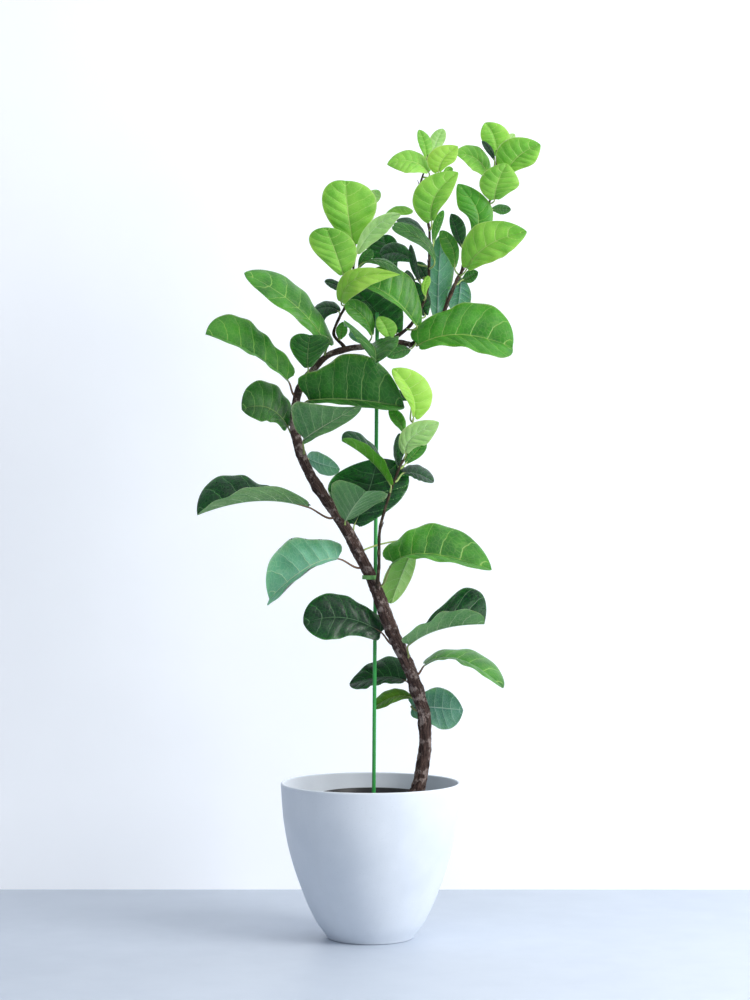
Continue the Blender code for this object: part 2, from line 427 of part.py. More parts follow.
def build():
    clear_scene()
    parts = collection("potted_fig")
    cutters = collection("cutters")

    glaze = material("glaze", (0.83, 0.85, 0.87), 0.62)
    black = material("nursery_plastic", (0.03, 0.03, 0.035), 0.5)
    earth = material("potting_soil", (0.06, 0.04, 0.025), 0.95)
    bark = material("bark", (0.16, 0.11, 0.09), 0.9)
    twig = material("young_bark", (0.17, 0.12, 0.08), 0.85)
    coat = material("stake_coat", (0.05, 0.36, 0.08), 0.4)
    band = material("tie_plastic", (0.18, 0.42, 0.16), 0.6)
    green = material("mature_blade", (0.07, 0.20, 0.05), 0.35)
    lime = material("young_blade", (0.25, 0.45, 0.10), 0.4)

    rim = POT_RIM_RADIUS
    turned(
        "pot",
        (
            (0.0, 0.0),
            (POT_FOOT_RADIUS - 0.3, 0.0),
            (POT_FOOT_RADIUS, 0.3),
            (12.1, 3.5),
            (13.9, 7.0),
            (15.45, 10.8),
            (16.9, 14.8),
            (18.0, 18.5),
            (18.9, 22.4),
            (19.7, 27.5),
            (rim, POT_HEIGHT - 0.3),
            (rim - 0.08, POT_HEIGHT - 0.07),
            (rim - 0.28, POT_HEIGHT),
            (rim - POT_WALL + 0.1, POT_HEIGHT - 0.1),
            (rim - POT_WALL, POT_HEIGHT - 0.4),
            (19.05, 27.5),
            (18.2, 22.4),
            (17.3, 18.5),
            (16.2, 14.8),
            (14.75, 10.8),
            (13.2, 7.0),
            (11.35, 3.5),
            (9.9, POT_FLOOR + 0.3),
            (9.6, POT_FLOOR),
            (0.0, POT_FLOOR),
        ),
        parts,
        glaze,
    )

    edge = NURSERY_RIM_RADIUS
    turned(
        "nursery_pot",
        (
            (0.0, NURSERY_BASE_Z),
            (8.8, NURSERY_BASE_Z),
            (9.0, NURSERY_BASE_Z + 0.2),
            (edge - 0.15, NURSERY_RIM_Z - 1.6),
            (edge + 0.15, NURSERY_RIM_Z - 1.5),
            (edge + 0.2, NURSERY_RIM_Z - 0.1),
            (edge + 0.1, NURSERY_RIM_Z),
            (edge - 0.2, NURSERY_RIM_Z),
            (edge - 0.15 - NURSERY_WALL, NURSERY_RIM_Z - 1.6),
            (8.75, NURSERY_BASE_Z + NURSERY_WALL + 0.1),
            (0.0, NURSERY_BASE_Z + NURSERY_WALL),
        ),
        parts,
        black,
        steps=36,
        centre=NURSERY_X,
    )

    soil = turned(
        "soil",
        (
            (0.0, NURSERY_BASE_Z + NURSERY_WALL + 0.04),
            (8.65, NURSERY_BASE_Z + NURSERY_WALL + 0.15),
            (edge - 0.5 - NURSERY_WALL, SOIL_TOP_Z - 0.25),
            (edge - 1.5, SOIL_TOP_Z),
            (6.0, SOIL_TOP_Z + 0.15),
            (0.0, SOIL_TOP_Z + 0.05),
        ),
        parts,
        earth,
        steps=36,
        centre=NURSERY_X,
    )
    socket = cylinder(
        "trunk_socket",
        (TRUNK_X, TRUNK_Y, TRUNK_FOOT_Z - 0.05),
        (TRUNK_X, TRUNK_Y, SOIL_TOP_Z + 2.0),
        TRUNK_FOOT_RADIUS + 0.06,
        20,
        cutters,
    )
    way = (Vector(STAKE_TOP) - Vector(STAKE_FOOT)).normalized()
    shaft = cylinder(
        "stake_socket",
        Vector(STAKE_FOOT) - way * 0.05,
        Vector(STAKE_FOOT) + way * (SOIL_TOP_Z - STAKE_FOOT[2] + 2.0),
        STAKE_RADIUS + 0.06,
        12,
        cutters,
    )
    cut(soil, socket)
    cut(soil, shaft)

    stake_line = ((*STAKE_FOOT, STAKE_RADIUS), (*STAKE_TOP, STAKE_RADIUS))
    tube("stake", stake_line, parts, coat)
    tie("stake_tie", parts, band)
    tube("trunk", TRUNK, parts, bark)
    for name in ("side_shoot", "left_shoot", "middle_shoot", "right_shoot"):
        tube(name, STEMS[name], parts, twig)
    for entry in LEAVES:
        leaf(*entry, parts, green if "lyre" in entry[-1] or "fan" in entry[-1] else lime)


build()
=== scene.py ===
"""Look of the potted fiddle leaf fig: leaves, bark, planter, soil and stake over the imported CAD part."""

import math
import random

import bpy
import numpy as np
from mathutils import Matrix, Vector, noise


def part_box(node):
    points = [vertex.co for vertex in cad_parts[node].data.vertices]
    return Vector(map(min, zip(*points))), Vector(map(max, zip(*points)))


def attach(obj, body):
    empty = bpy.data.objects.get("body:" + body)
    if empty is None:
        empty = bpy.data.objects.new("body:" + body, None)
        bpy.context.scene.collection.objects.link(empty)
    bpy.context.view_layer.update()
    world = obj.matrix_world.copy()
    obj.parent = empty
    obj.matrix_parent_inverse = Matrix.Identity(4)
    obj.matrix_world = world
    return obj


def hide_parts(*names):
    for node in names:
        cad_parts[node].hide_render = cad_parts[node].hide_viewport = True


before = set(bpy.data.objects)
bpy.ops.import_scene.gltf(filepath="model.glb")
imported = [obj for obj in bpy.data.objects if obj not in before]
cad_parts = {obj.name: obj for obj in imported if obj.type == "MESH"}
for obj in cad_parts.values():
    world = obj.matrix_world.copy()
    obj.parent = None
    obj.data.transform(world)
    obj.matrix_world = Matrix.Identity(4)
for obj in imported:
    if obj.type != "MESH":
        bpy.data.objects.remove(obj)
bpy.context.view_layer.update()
CM = 0.01
FULL_TURN = 6.283

SIDE, LEFT = "side_shoot", "left_shoot"
MIDDLE, RIGHT = "middle_shoot", "right_shoot"

# Each stem is a run of points: across, back, up and radius, in centimetres.
TRUNK = (
    (9.6, -1.0, 23.0, 1.60), (9.6, -1.0, 31.2, 1.62), (10.6, -1.0, 33.6, 1.58),
    (11.8, -1.0, 39.0, 1.50), (12.2, -1.1, 44.5, 1.42), (12.0, -1.2, 50.0, 1.50),
    (10.9, -1.4, 54.0, 1.50), (9.7, -1.6, 58.0, 1.45), (8.0, -1.9, 62.0, 1.45), (6.1, -2.4, 66.0, 1.45),
    (4.3, -2.6, 70.0, 1.50), (2.9, -2.6, 74.0, 1.55), (1.4, -2.4, 78.0, 1.40), (-0.4, -2.3, 82.0, 1.35),
    (-2.4, -2.4, 86.0, 1.35), (-4.5, -2.5, 90.0, 1.35), (-7.0, -2.4, 94.0, 1.30),
    (-9.7, -2.2, 98.0, 1.25), (-12.4, -1.8, 102.0, 1.20), (-14.5, -1.4, 106.0, 1.15),
    (-16.1, -1.0, 110.0, 1.10), (-17.1, -0.5, 115.0, 1.00), (-16.8, 0.0, 120.0, 0.92),
    (-15.7, 0.5, 124.0, 0.88), (-13.0, 1.0, 127.6, 0.80), (-9.5, 1.4, 131.0, 0.72),
    (-5.0, 1.8, 132.5, 0.68), (-2.0, 2.1, 132.9, 0.66), (2.0, 2.3, 133.2, 0.64),
    (6.0, 2.4, 133.9, 0.62), (9.0, 2.4, 133.5, 0.58),
)
SIDE_SHOOT = (
    (1.5, -4.1, 79.2, 0.42), (1.65, -5.1, 80.8, 0.40), (1.9, -5.2, 84.0, 0.36), (2.0, -5.2, 91.0, 0.34),
    (3.3, -5.0, 96.5, 0.32), (5.0, -4.6, 101.8, 0.30), (6.7, -4.4, 106.0, 0.28), (8.0, -4.2, 108.4, 0.26),
    (8.8, -3.9, 112.0, 0.24), (9.6, -3.6, 116.5, 0.20),
)
LEFT_SHOOT = (
    (-6.4, 1.5, 133.4, 0.40), (-8.3, 1.3, 135.8, 0.34), (-7.0, 1.0, 139.5, 0.32), (-5.5, 0.6, 142.4, 0.30),
    (-4.5, 0.4, 147.0, 0.28), (-3.8, 0.2, 151.0, 0.26), (-3.5, 0.0, 155.5, 0.24), (-2.0, 0.0, 161.0, 0.22),
    (0.0, 0.2, 166.0, 0.18),
)
MIDDLE_SHOOT = (
    (5.7, 2.4, 135.1, 0.45), (7.5, 2.4, 136.4, 0.40), (9.2, 2.2, 138.0, 0.38), (11.0, 2.0, 141.0, 0.36),
    (12.4, 1.8, 144.0, 0.34), (13.1, 1.5, 148.0, 0.32), (13.2, 1.2, 152.0, 0.30), (13.3, 1.0, 158.0, 0.28),
    (12.9, 0.8, 161.0, 0.27), (12.0, 0.6, 165.0, 0.25), (11.2, 0.4, 169.0, 0.23), (12.3, 0.2, 173.0, 0.20),
    (13.0, 0.0, 176.0, 0.16),
)
RIGHT_SHOOT = (
    (9.6, 2.35, 133.65, 0.50), (12.6, 2.0, 135.4, 0.50), (14.8, 1.6, 137.5, 0.48), (16.3, 1.2, 140.0, 0.46),
    (17.3, 1.0, 142.8, 0.44), (19.3, 0.6, 147.5, 0.40), (20.5, 0.4, 149.8, 0.38), (21.5, 0.3, 154.0, 0.34),
    (23.0, 0.2, 158.0, 0.32), (25.0, 0.1, 162.0, 0.30), (27.0, 0.0, 166.0, 0.28), (28.0, 0.0, 170.0, 0.25),
    (28.3, 0.0, 174.0, 0.22), (28.3, 0.0, 177.0, 0.18),
)

STEMS = {
    "trunk": TRUNK,
    SIDE: SIDE_SHOOT,
    LEFT: LEFT_SHOOT,
    MIDDLE: MIDDLE_SHOOT,
    RIGHT: RIGHT_SHOOT,
}

# Share of the full half width along a blade, up to where it is widest.
OUTLINES = {
    "lyre": ((0.0, 0.10), (0.05, 0.40), (0.14, 0.57), (0.28, 0.64), (0.42, 0.79), (0.56, 0.95), (0.68, 1.0)),
    "oval": ((0.0, 0.08), (0.08, 0.28), (0.2, 0.54), (0.35, 0.80), (0.5, 0.96), (0.62, 1.0)),
    "drop": ((0.0, 0.08), (0.08, 0.34), (0.2, 0.66), (0.35, 0.92), (0.5, 1.0)),
    "spoon": ((0.0, 0.15), (0.05, 0.45), (0.12, 0.72), (0.22, 0.93), (0.34, 1.0)),
    "spear": ((0.0, 0.12), (0.05, 0.40), (0.12, 0.70), (0.22, 0.95), (0.32, 1.0)),
    "fan": ((0.0, 0.06), (0.12, 0.20), (0.3, 0.32), (0.45, 0.52), (0.6, 0.86), (0.74, 1.0)),
}
# Power and root of the curve that closes the blade after that.
ROUNDING = {
    "lyre": (2.3, 0.5),
    "oval": (2.1, 0.5),
    "drop": (1.8, 0.75),
    "spoon": (1.4, 0.9),
    "spear": (1.15, 1.3),
    "fan": (2.4, 0.5),
}

# Each leaf, in centimetres: stem, height where it leaves it, foot of the blade, middle of its midrib, tip,
# then the left and right edges where they are widest, and the outline of the blade or of its left/right half.
LEAVES = (
    ("trunk", 50.8, (9.3, 1.2, 51.8), (15.0, 3.2, 51.3), (21.0, 4.5, 50.6),
     (16.5, 2.5, 46.4), (15.5, 4.5, 55.8), "lyre"),
    ("trunk", 53.8, (9.0, -0.8, 54.0), (5.0, 0.8, 54.0), (0.7, 1.6, 51.4),
     (3.9, -1.2, 52.1), (3.6, 3.0, 55.2), "oval"),
    ("trunk", 56.3, (8.0, 1.5, 57.5), (2.5, 4.5, 58.2), (-4.8, 5.0, 56.6),
     (-1.0, 1.6, 55.8), (4.2, 7.5, 62.6), "lyre/spoon"),
    ("trunk", 58.6, (12.2, -2.5, 61.4), (20.0, -4.0, 62.6), (29.6, -5.5, 56.4),
     (24.8, 2.0, 63.6), (22.5, -8.5, 61.0), "lyre"),
    ("trunk", 62.7, (8.5, -4.8, 66.0), (15.5, -7.0, 69.7), (25.3, -7.0, 70.8),
     (21.8, -2.0, 78.6), (18.5, -11.5, 74.0), "fan/lyre"),
    ("trunk", 66.3, (2.4, -1.5, 68.6), (-6.0, -3.6, 72.0), (-15.0, -4.8, 70.8),
     (-8.5, -6.5, 67.2), (-8.5, -1.6, 77.4), "lyre"),
    ("trunk", 78.4, (5.0, -4.2, 84.3), (13.0, -6.0, 86.3), (27.0, -6.0, 82.8),
     (15.5, -1.0, 92.9), (16.5, -10.5, 84.6), "lyre"),
    ("trunk", 86.5, (9.6, 1.5, 87.4), (7.3, 3.5, 82.0), (4.6, 4.5, 74.8),
     (3.2, 4.0, 81.2), (9.4, 5.0, 80.8), "oval"),
    ("trunk", 83.6, (-7.2, -3.5, 85.1), (-14.0, -5.0, 83.2), (-22.5, -5.5, 76.2),
     (-19.4, 0.0, 88.6), (-19.5, -9.0, 77.8), "lyre"),
    ("trunk", 92.5, (-5.6, -4.6, 93.6), (-3.8, -9.5, 96.6), (-1.0, -14.0, 100.2),
     (3.6, -9.0, 99.0), (-8.4, -9.0, 102.0), "drop"),
    ("trunk", 90.5, (-3.6, -1.6, 92.8), (-0.5, -2.0, 100.0), (1.5, -1.8, 107.6),
     (-9.4, 0.2, 102.0), (8.5, -1.4, 101.5), "oval"),
    ("trunk", 94.8, (-13.8, -4.5, 96.7), (-25.5, -7.0, 98.2), (-38.5, -7.0, 95.0),
     (-24.0, -9.5, 101.4), (-32.4, -2.0, 104.0), "spoon/fan"),
    ("trunk", 106.0, (-14.0, 2.0, 107.5), (-11.5, 4.0, 106.5), (-7.0, 5.0, 105.3),
     (-10.5, 3.0, 103.9), (-11.8, 5.5, 109.2), "oval"),
    ("trunk", 108.3, (-14.8, -3.8, 111.8), (-10.0, -8.0, 114.8), (-2.2, -10.5, 119.2),
     (-6.4, -12.0, 114.6), (-16.4, -7.5, 120.2), "lyre/spear"),
    ("trunk", 113.0, (-18.6, 0.5, 114.8), (-23.0, -1.0, 119.0), (-28.9, -2.0, 118.6),
     (-24.0, -4.5, 115.8), (-23.5, 2.5, 125.2), "lyre"),
    ("trunk", 118.5, (-13.8, -2.6, 120.6), (-4.3, -4.2, 120.7), (7.6, -4.0, 119.1),
     (-3.4, -5.0, 131.0), (0.0, -7.5, 118.6), "lyre"),
    ("trunk", 126.2, (-14.0, -1.5, 127.9), (-14.0, -4.0, 131.2), (-13.4, -6.7, 134.9),
     (-18.0, -5.0, 133.4), (-9.0, -5.0, 133.4), "oval"),
    ("trunk", 121.5, (-18.6, -1.0, 125.2), (-27.0, -1.5, 131.5), (-37.0, -2.0, 135.5),
     (-29.0, -6.0, 132.0), (-28.6, 2.5, 139.4), "lyre"),
    ("trunk", 130.5, (-9.9, -0.5, 133.2), (-17.0, -3.0, 142.0), (-28.2, -4.5, 149.0),
     (-20.8, -5.5, 141.6), (-17.0, 1.5, 147.2), "lyre"),
    (SIDE, 100.0, (4.5, -6.5, 101.7), (0.2, -9.0, 107.0), (-6.3, -10.5, 111.4),
     (0.2, -13.0, 109.8), (-1.6, -6.0, 112.6), "oval"),
    (SIDE, 114.5, (9.7, -4.5, 117.0), (9.2, -5.5, 122.0), (5.0, -6.0, 127.6),
     (6.7, -7.0, 122.5), (13.4, -4.5, 123.5), "oval"),
    (SIDE, 107.5, (7.8, -6.0, 108.6), (9.2, -7.5, 112.2), (15.2, -8.0, 115.5),
     (8.0, -8.0, 114.6), (12.4, -7.0, 110.6), "drop"),
    (SIDE, 104.0, (6.3, -2.5, 105.5), (5.8, -1.5, 109.0), (6.5, -1.0, 113.3),
     (5.1, -3.0, 110.0), (7.8, -1.0, 110.0), "oval"),
    (SIDE, 102.5, (7.3, -3.6, 104.3), (10.5, -2.5, 104.2), (14.2, -2.0, 102.3),
     (11.3, 0.5, 106.0), (11.0, -5.0, 102.6), "oval"),
    ("trunk", 132.9, (-0.3, -2.3, 132.7), (0.9, -6.8, 132.0), (1.2, -12.5, 128.3),
     (6.2, -8.0, 134.0), (-5.9, -6.6, 138.0), "lyre"),
    (RIGHT, 133.95, (8.8, 0.6, 132.3), (7.0, -0.5, 131.9), (3.6, -1.5, 130.6),
     (7.0, -1.5, 130.2), (5.5, 1.0, 133.2), "oval"),
    (RIGHT, 134.6, (10.6, -1.2, 133.0), (20.0, -3.0, 135.3), (31.8, -3.5, 132.4),
     (24.5, 0.5, 142.8), (25.4, -7.6, 130.6), "lyre"),
    ("trunk", 133.0, (0.3, -0.9, 135.4), (-1.5, -2.4, 139.3), (-5.5, -3.4, 142.4),
     (-4.0, -4.0, 138.8), (-0.9, -1.6, 142.0), "oval"),
    ("trunk", 133.3, (4.3, 0.0, 134.6), (3.4, -1.5, 137.0), (1.8, -2.0, 139.5),
     (1.6, -2.2, 136.5), (5.8, -1.0, 137.5), "oval"),
    (MIDDLE, 136.0, (5.8, 5.0, 136.2), (1.5, 6.0, 141.0), (-3.5, 6.5, 146.2),
     (-3.0, 6.0, 140.0), (6.0, 7.0, 144.0), "oval"),
    (MIDDLE, 137.0, (10.4, -0.8, 137.4), (5.5, -3.5, 143.0), (-2.0, -5.0, 147.2),
     (1.0, -6.5, 144.5), (7.5, -1.5, 149.5), "oval"),
    (LEFT, 138.8, (-7.2, 3.2, 141.0), (-9.5, 4.0, 142.0), (-12.8, 4.2, 141.3),
     (-10.5, 2.0, 138.8), (-10.0, 6.0, 143.6), "oval"),
    (LEFT, 142.0, (-6.6, -2.2, 142.6), (-3.0, -5.5, 147.6), (6.6, -6.5, 148.4),
     (-5.6, -4.6, 149.0), (-2.6, -7.6, 144.2), "spoon"),
    (LEFT, 147.0, (-6.0, -3.0, 148.6), (-7.9, -5.2, 153.8), (-9.9, -5.8, 159.0),
     (-13.5, -5.4, 155.2), (-3.3, -5.2, 155.0), "oval"),
    (LEFT, 154.0, (-3.8, -1.0, 155.7), (-5.0, -2.2, 162.5), (-5.6, -2.6, 169.8),
     (-10.9, -2.6, 165.0), (1.4, -2.0, 165.0), "oval"),
    (LEFT, 151.0, (-3.0, -2.6, 153.5), (1.6, -5.9, 159.4), (6.8, -6.6, 161.7),
     (0.0, -7.6, 160.0), (3.4, -4.2, 157.8), "drop"),
    (MIDDLE, 150.5, (14.4, -1.5, 151.8), (11.8, -3.6, 156.2), (5.2, -4.2, 159.6),
     (8.2, -5.4, 156.4), (10.2, -2.6, 159.4), "oval"),
    (MIDDLE, 151.0, (9.4, 3.5, 152.5), (6.0, 5.0, 154.5), (2.4, 6.0, 153.8),
     (5.0, 3.0, 152.0), (5.0, 7.0, 157.0), "oval"),
    (MIDDLE, 148.5, (5.5, 9.5, 150.3), (4.0, 11.0, 155.0), (3.0, 11.5, 159.2),
     (-1.0, 11.0, 156.0), (6.2, 10.5, 157.0), "oval"),
    (MIDDLE, 159.0, (13.7, -1.2, 161.0), (14.6, -3.2, 166.5), (19.6, -4.0, 171.5),
     (9.8, -3.2, 167.4), (17.4, -4.0, 165.6), "drop"),
    (MIDDLE, 169.0, (13.0, -1.6, 171.9), (8.9, -2.6, 174.2), (3.7, -3.0, 173.4),
     (8.2, -4.6, 171.2), (9.8, -0.8, 176.8), "drop"),
    (MIDDLE, 171.0, (15.2, -2.4, 171.8), (16.4, -3.2, 174.8), (19.5, -3.6, 177.4),
     (13.0, -3.2, 175.6), (18.8, -3.0, 174.0), "drop"),
    (MIDDLE, 174.2, (12.6, 1.4, 175.4), (12.2, 1.6, 178.5), (10.9, 1.6, 181.9),
     (10.8, 1.0, 178.6), (13.9, 2.2, 179.0), "oval"),
    (RIGHT, 138.0, (15.2, 3.6, 138.9), (15.4, 5.0, 148.0), (16.0, 5.0, 158.6),
     (19.0, 5.0, 151.0), (12.6, 4.6, 149.0), "oval"),
    (RIGHT, 148.8, (21.6, -2.2, 150.2), (26.4, -5.0, 155.2), (34.8, -6.0, 158.0),
     (23.4, -3.0, 159.6), (28.8, -8.0, 151.8), "drop"),
    (RIGHT, 156.0, (23.2, -0.9, 158.2), (24.0, -1.4, 163.0), (19.6, -1.8, 169.2),
     (19.9, -1.8, 163.4), (27.4, -0.8, 163.6), "drop"),
    (RIGHT, 165.0, (27.8, -2.3, 165.6), (28.4, -4.0, 169.2), (30.4, -4.6, 173.4),
     (24.4, -4.0, 169.8), (33.2, -4.0, 168.6), "drop"),
    (RIGHT, 169.0, (26.8, 1.4, 171.0), (23.9, 1.2, 175.2), (19.2, 1.0, 176.3),
     (22.6, -0.8, 172.6), (24.4, 3.2, 178.2), "drop"),
    (RIGHT, 174.0, (28.6, 1.8, 176.0), (27.9, 1.2, 180.0), (25.8, 0.9, 183.4),
     (25.0, 1.0, 179.5), (31.4, 1.2, 180.5), "oval"),
    (RIGHT, 171.0, (30.4, -1.8, 171.6), (33.3, -3.0, 175.4), (38.0, -3.4, 177.8),
     (29.2, -3.0, 178.0), (36.2, -3.8, 173.2), "drop"),
)

# The smallest leaves, which have no node in the CAD, in the same form. They are all oval.
EXTRAS = (
    (LEFT, 162.0, (-1.4, 2.6, 164.0), (0.2, 3.4, 166.5), (2.0, 3.6, 168.4),
     (-0.8, 3.2, 167.6), (1.8, 3.8, 166.0)),
    (LEFT, 144.5, (-6.2, 1.4, 145.4), (-8.0, 2.0, 146.9), (-10.4, 2.2, 147.6),
     (-8.6, 1.0, 145.9), (-8.3, 3.0, 148.2)),
    (LEFT, 150.0, (-2.6, -0.8, 150.6), (-1.6, -1.4, 152.6), (0.2, -1.6, 154.5),
     (-2.0, -1.6, 153.6), (0.2, -1.2, 152.4)),
    (LEFT, 149.0, (-1.6, -3.0, 151.4), (2.5, -4.6, 151.6), (6.8, -5.2, 149.0),
     (3.0, -3.0, 152.3), (3.2, -6.2, 149.8)),
    (LEFT, 159.0, (2.6, 1.5, 161.2), (5.6, 1.2, 163.9), (9.6, 1.0, 163.3),
     (6.5, 2.2, 164.8), (6.8, 0.2, 162.4)),
    (MIDDLE, 156.5, (12.2, -0.2, 158.0), (9.5, -1.2, 160.3), (5.8, -1.8, 160.9),
     (9.0, -2.4, 159.2), (9.4, 0.2, 161.6)),
    (MIDDLE, 142.0, (8.8, 1.2, 143.8), (9.2, 0.8, 147.0), (8.2, 0.4, 150.1),
     (6.6, 0.6, 147.0), (10.1, 1.4, 147.4)),
    (MIDDLE, 146.0, (11.2, 0.6, 147.4), (9.9, 0.2, 151.2), (9.0, 0.0, 155.8),
     (8.8, 0.4, 151.5), (10.4, 0.8, 152.4)),
    (MIDDLE, 147.0, (12.8, 2.6, 147.8), (11.7, 3.0, 150.0), (10.4, 3.0, 152.2),
     (10.0, 2.8, 149.8), (13.0, 3.2, 151.0)),
    (MIDDLE, 174.8, (13.6, 2.8, 176.2), (15.0, 3.6, 179.5), (16.4, 4.0, 182.5),
     (13.5, 3.6, 180.4), (16.8, 4.2, 179.6)),
    (MIDDLE, 167.5, (16.2, 0.8, 170.4), (17.6, 0.8, 172.3), (18.6, 0.6, 172.8),
     (16.8, 0.4, 173.0), (18.5, 1.2, 171.6)),
    (MIDDLE, 154.5, (14.2, 0.6, 156.4), (14.9, 0.2, 160.0), (16.4, 0.0, 163.5),
     (14.1, 0.0, 160.8), (16.1, 0.8, 160.4)),
    (RIGHT, 149.0, (19.0, 2.0, 151.0), (18.4, 2.6, 155.6), (15.7, 2.8, 159.2),
     (16.2, 2.4, 155.0), (19.5, 3.0, 156.8)),
    (MIDDLE, 143.4, (12.3, -0.3, 144.2), (12.0, -0.8, 146.4), (13.0, -0.9, 148.7),
     (11.5, -0.9, 146.8), (13.4, -0.6, 146.8)),
    (MIDDLE, 139.6, (12.4, 3.4, 140.2), (11.0, 4.0, 143.6), (9.6, 4.2, 147.9),
     (8.6, 3.8, 143.8), (13.4, 4.2, 144.6)),
    (RIGHT, 172.4, (27.8, -0.6, 174.8), (26.6, -0.9, 177.0), (25.0, -1.0, 179.0),
     (25.8, -1.2, 176.8), (27.2, -0.6, 177.6)),
    (RIGHT, 175.6, (30.2, 1.6, 178.2), (31.4, 1.8, 179.8), (32.5, 1.8, 181.0),
     (30.6, 1.6, 180.4), (32.4, 2.0, 179.6)),
    (RIGHT, 161.6, (27.4, 1.2, 163.8), (29.4, 1.6, 164.0), (31.7, 1.6, 163.8),
     (29.6, 2.6, 165.2), (29.6, 0.8, 162.6)),
    (RIGHT, 154.0, (20.6, 2.2, 155.6), (19.4, 2.8, 159.4), (18.2, 3.0, 163.1),
     (18.2, 2.6, 159.2), (21.4, 3.2, 160.4)),
    (RIGHT, 147.0, (20.8, 1.6, 148.0), (22.4, 2.0, 148.6), (24.3, 2.0, 149.8),
     (22.0, 2.4, 150.2), (22.9, 1.6, 147.4)),
    (RIGHT, 148.4, (20.4, 2.2, 148.4), (20.2, 3.4, 145.0), (19.6, 4.0, 140.4),
     (17.4, 3.2, 144.5), (22.8, 3.6, 143.8)),
    (SIDE, 112.0, (7.4, -2.2, 113.6), (6.2, -2.0, 116.4), (4.2, -2.0, 118.8),
     (4.7, -2.4, 116.0), (7.4, -1.6, 117.2)),
    (SIDE, 105.4, (8.0, -2.6, 106.6), (10.0, -2.0, 108.8), (12.2, -1.8, 111.4),
     (9.0, -2.2, 110.2), (11.8, -1.6, 108.6)),
    (SIDE, 115.8, (8.6, -1.6, 120.9), (6.2, -1.2, 122.0), (3.6, -1.0, 121.8),
     (5.6, -2.2, 120.2), (5.4, -0.4, 123.2)),
    (LEFT, 134.4, (-6.9, 0.4, 134.6), (-6.5, 0.0, 136.4), (-6.2, -0.2, 138.4),
     (-7.8, -0.2, 136.6), (-5.2, 0.2, 136.2)),
)

# Tone of the upper face and of the under face, then the leaves that have both (m: a minor leaf).
# Leaves given the deep upper face carry partly painted shade, and those given the bright one partly painted
# light.
TONES = {
    "bright clear": "27 46 m12",
    "bright sage": "04 07 18 19 28 31 m13 m22 m23 m25",
    "deep clear": "38",
    "deep fresh": "20",
    "deep mint": "09",
    "deep sage": "05 06 11 12 30 32 39 m02 m15 m16 m24",
    "deep teal": "03 13 23 24 m06 m07 m08 m09 m19",
    "fresh clear": "08 29 34 35 40 41 43 45 47 48 49 50 m05 m11",
    "lime clear": "21 33 42 m14",
    "mid sage": "10 14 15 16 17 26 37 m03 m04",
    "mid teal": "01 25 44 m18 m20 m21",
    "olive sage": "02",
    "pale clear": "22 36 m01 m10 m17",
}
TONE_OF = {name: tone.split() for tone, names in TONES.items() for name in names.split()}

# -------- materials


class Web:
    """Short ways to add and join shader nodes."""

    def __init__(self, tree):
        self.tree = tree
        self.shader = tree.nodes["Principled BSDF"]

    def add(self, kind, **settings):
        made = self.tree.nodes.new(kind)
        for key, value in settings.items():
            setattr(made, key, value)
        return made

    def put(self, socket, value):
        if isinstance(value, bpy.types.NodeSocket):
            self.tree.links.new(value, socket)
        elif isinstance(value, tuple) and len(value) == 3 and socket.type == "RGBA":
            socket.default_value = (*value, 1.0)
        else:
            socket.default_value = value

    def math(self, operation, a, b=0.0, c=0.0):
        made = self.add("ShaderNodeMath", operation=operation)
        for socket, value in zip(made.inputs, (a, b, c)):
            self.put(socket, value)
        return made.outputs[0]

    def times(self, a, b):
        return self.math("MULTIPLY", a, b)

    def line(self, value, slope, start):
        return self.math("MULTIPLY_ADD", value, slope, start)

    def step(self, value, low, high):
        made = self.add("ShaderNodeMapRange", interpolation_type="SMOOTHSTEP")
        self.put(made.inputs["Value"], value)
        self.put(made.inputs["From Min"], low)
        self.put(made.inputs["From Max"], high)
        return made.outputs["Result"]

    def mix(self, factor, a, b):
        made = self.add("ShaderNodeMix", data_type="RGBA")
        self.put(made.inputs[0], factor)
        self.put(made.inputs[6], a)
        self.put(made.inputs[7], b)
        return made.outputs[2]

    def noise(self, where, scale, detail=3.0, rough=0.5):
        made = self.add("ShaderNodeTexNoise")
        self.put(made.inputs["Vector"], where)
        made.inputs["Scale"].default_value = scale
        made.inputs["Detail"].default_value = detail
        made.inputs["Roughness"].default_value = rough
        return made.outputs["Fac"]

    def scaled(self, where, scale):
        made = self.add("ShaderNodeMapping")
        self.put(made.inputs["Vector"], where)
        made.inputs["Scale"].default_value = scale
        return made.outputs["Vector"]

    def paint(self, colour, roughness):
        self.put(self.shader.inputs["Base Color"], colour)
        self.put(self.shader.inputs["Roughness"], roughness)

    def emboss(self, height, strength, distance):
        made = self.add("ShaderNodeBump")
        made.inputs["Strength"].default_value = strength
        made.inputs["Distance"].default_value = distance
        self.put(made.inputs["Height"], height)
        self.put(self.shader.inputs["Normal"], made.outputs["Normal"])


def new_look(name, specular):
    """A material, a web for its nodes, and its texture coordinates."""
    made = bpy.data.materials.new(name)
    made.use_nodes = True
    web = Web(made.node_tree)
    web.shader.inputs["Specular IOR Level"].default_value = specular
    return made, web, web.add("ShaderNodeTexCoord")


# Number of side veins, how far toward the tip they sweep as a share of the blade, and how that sweep grows.
VEINS = 6.5
VEIN_SWEEP = 0.17
VEIN_CURVE = 1.25
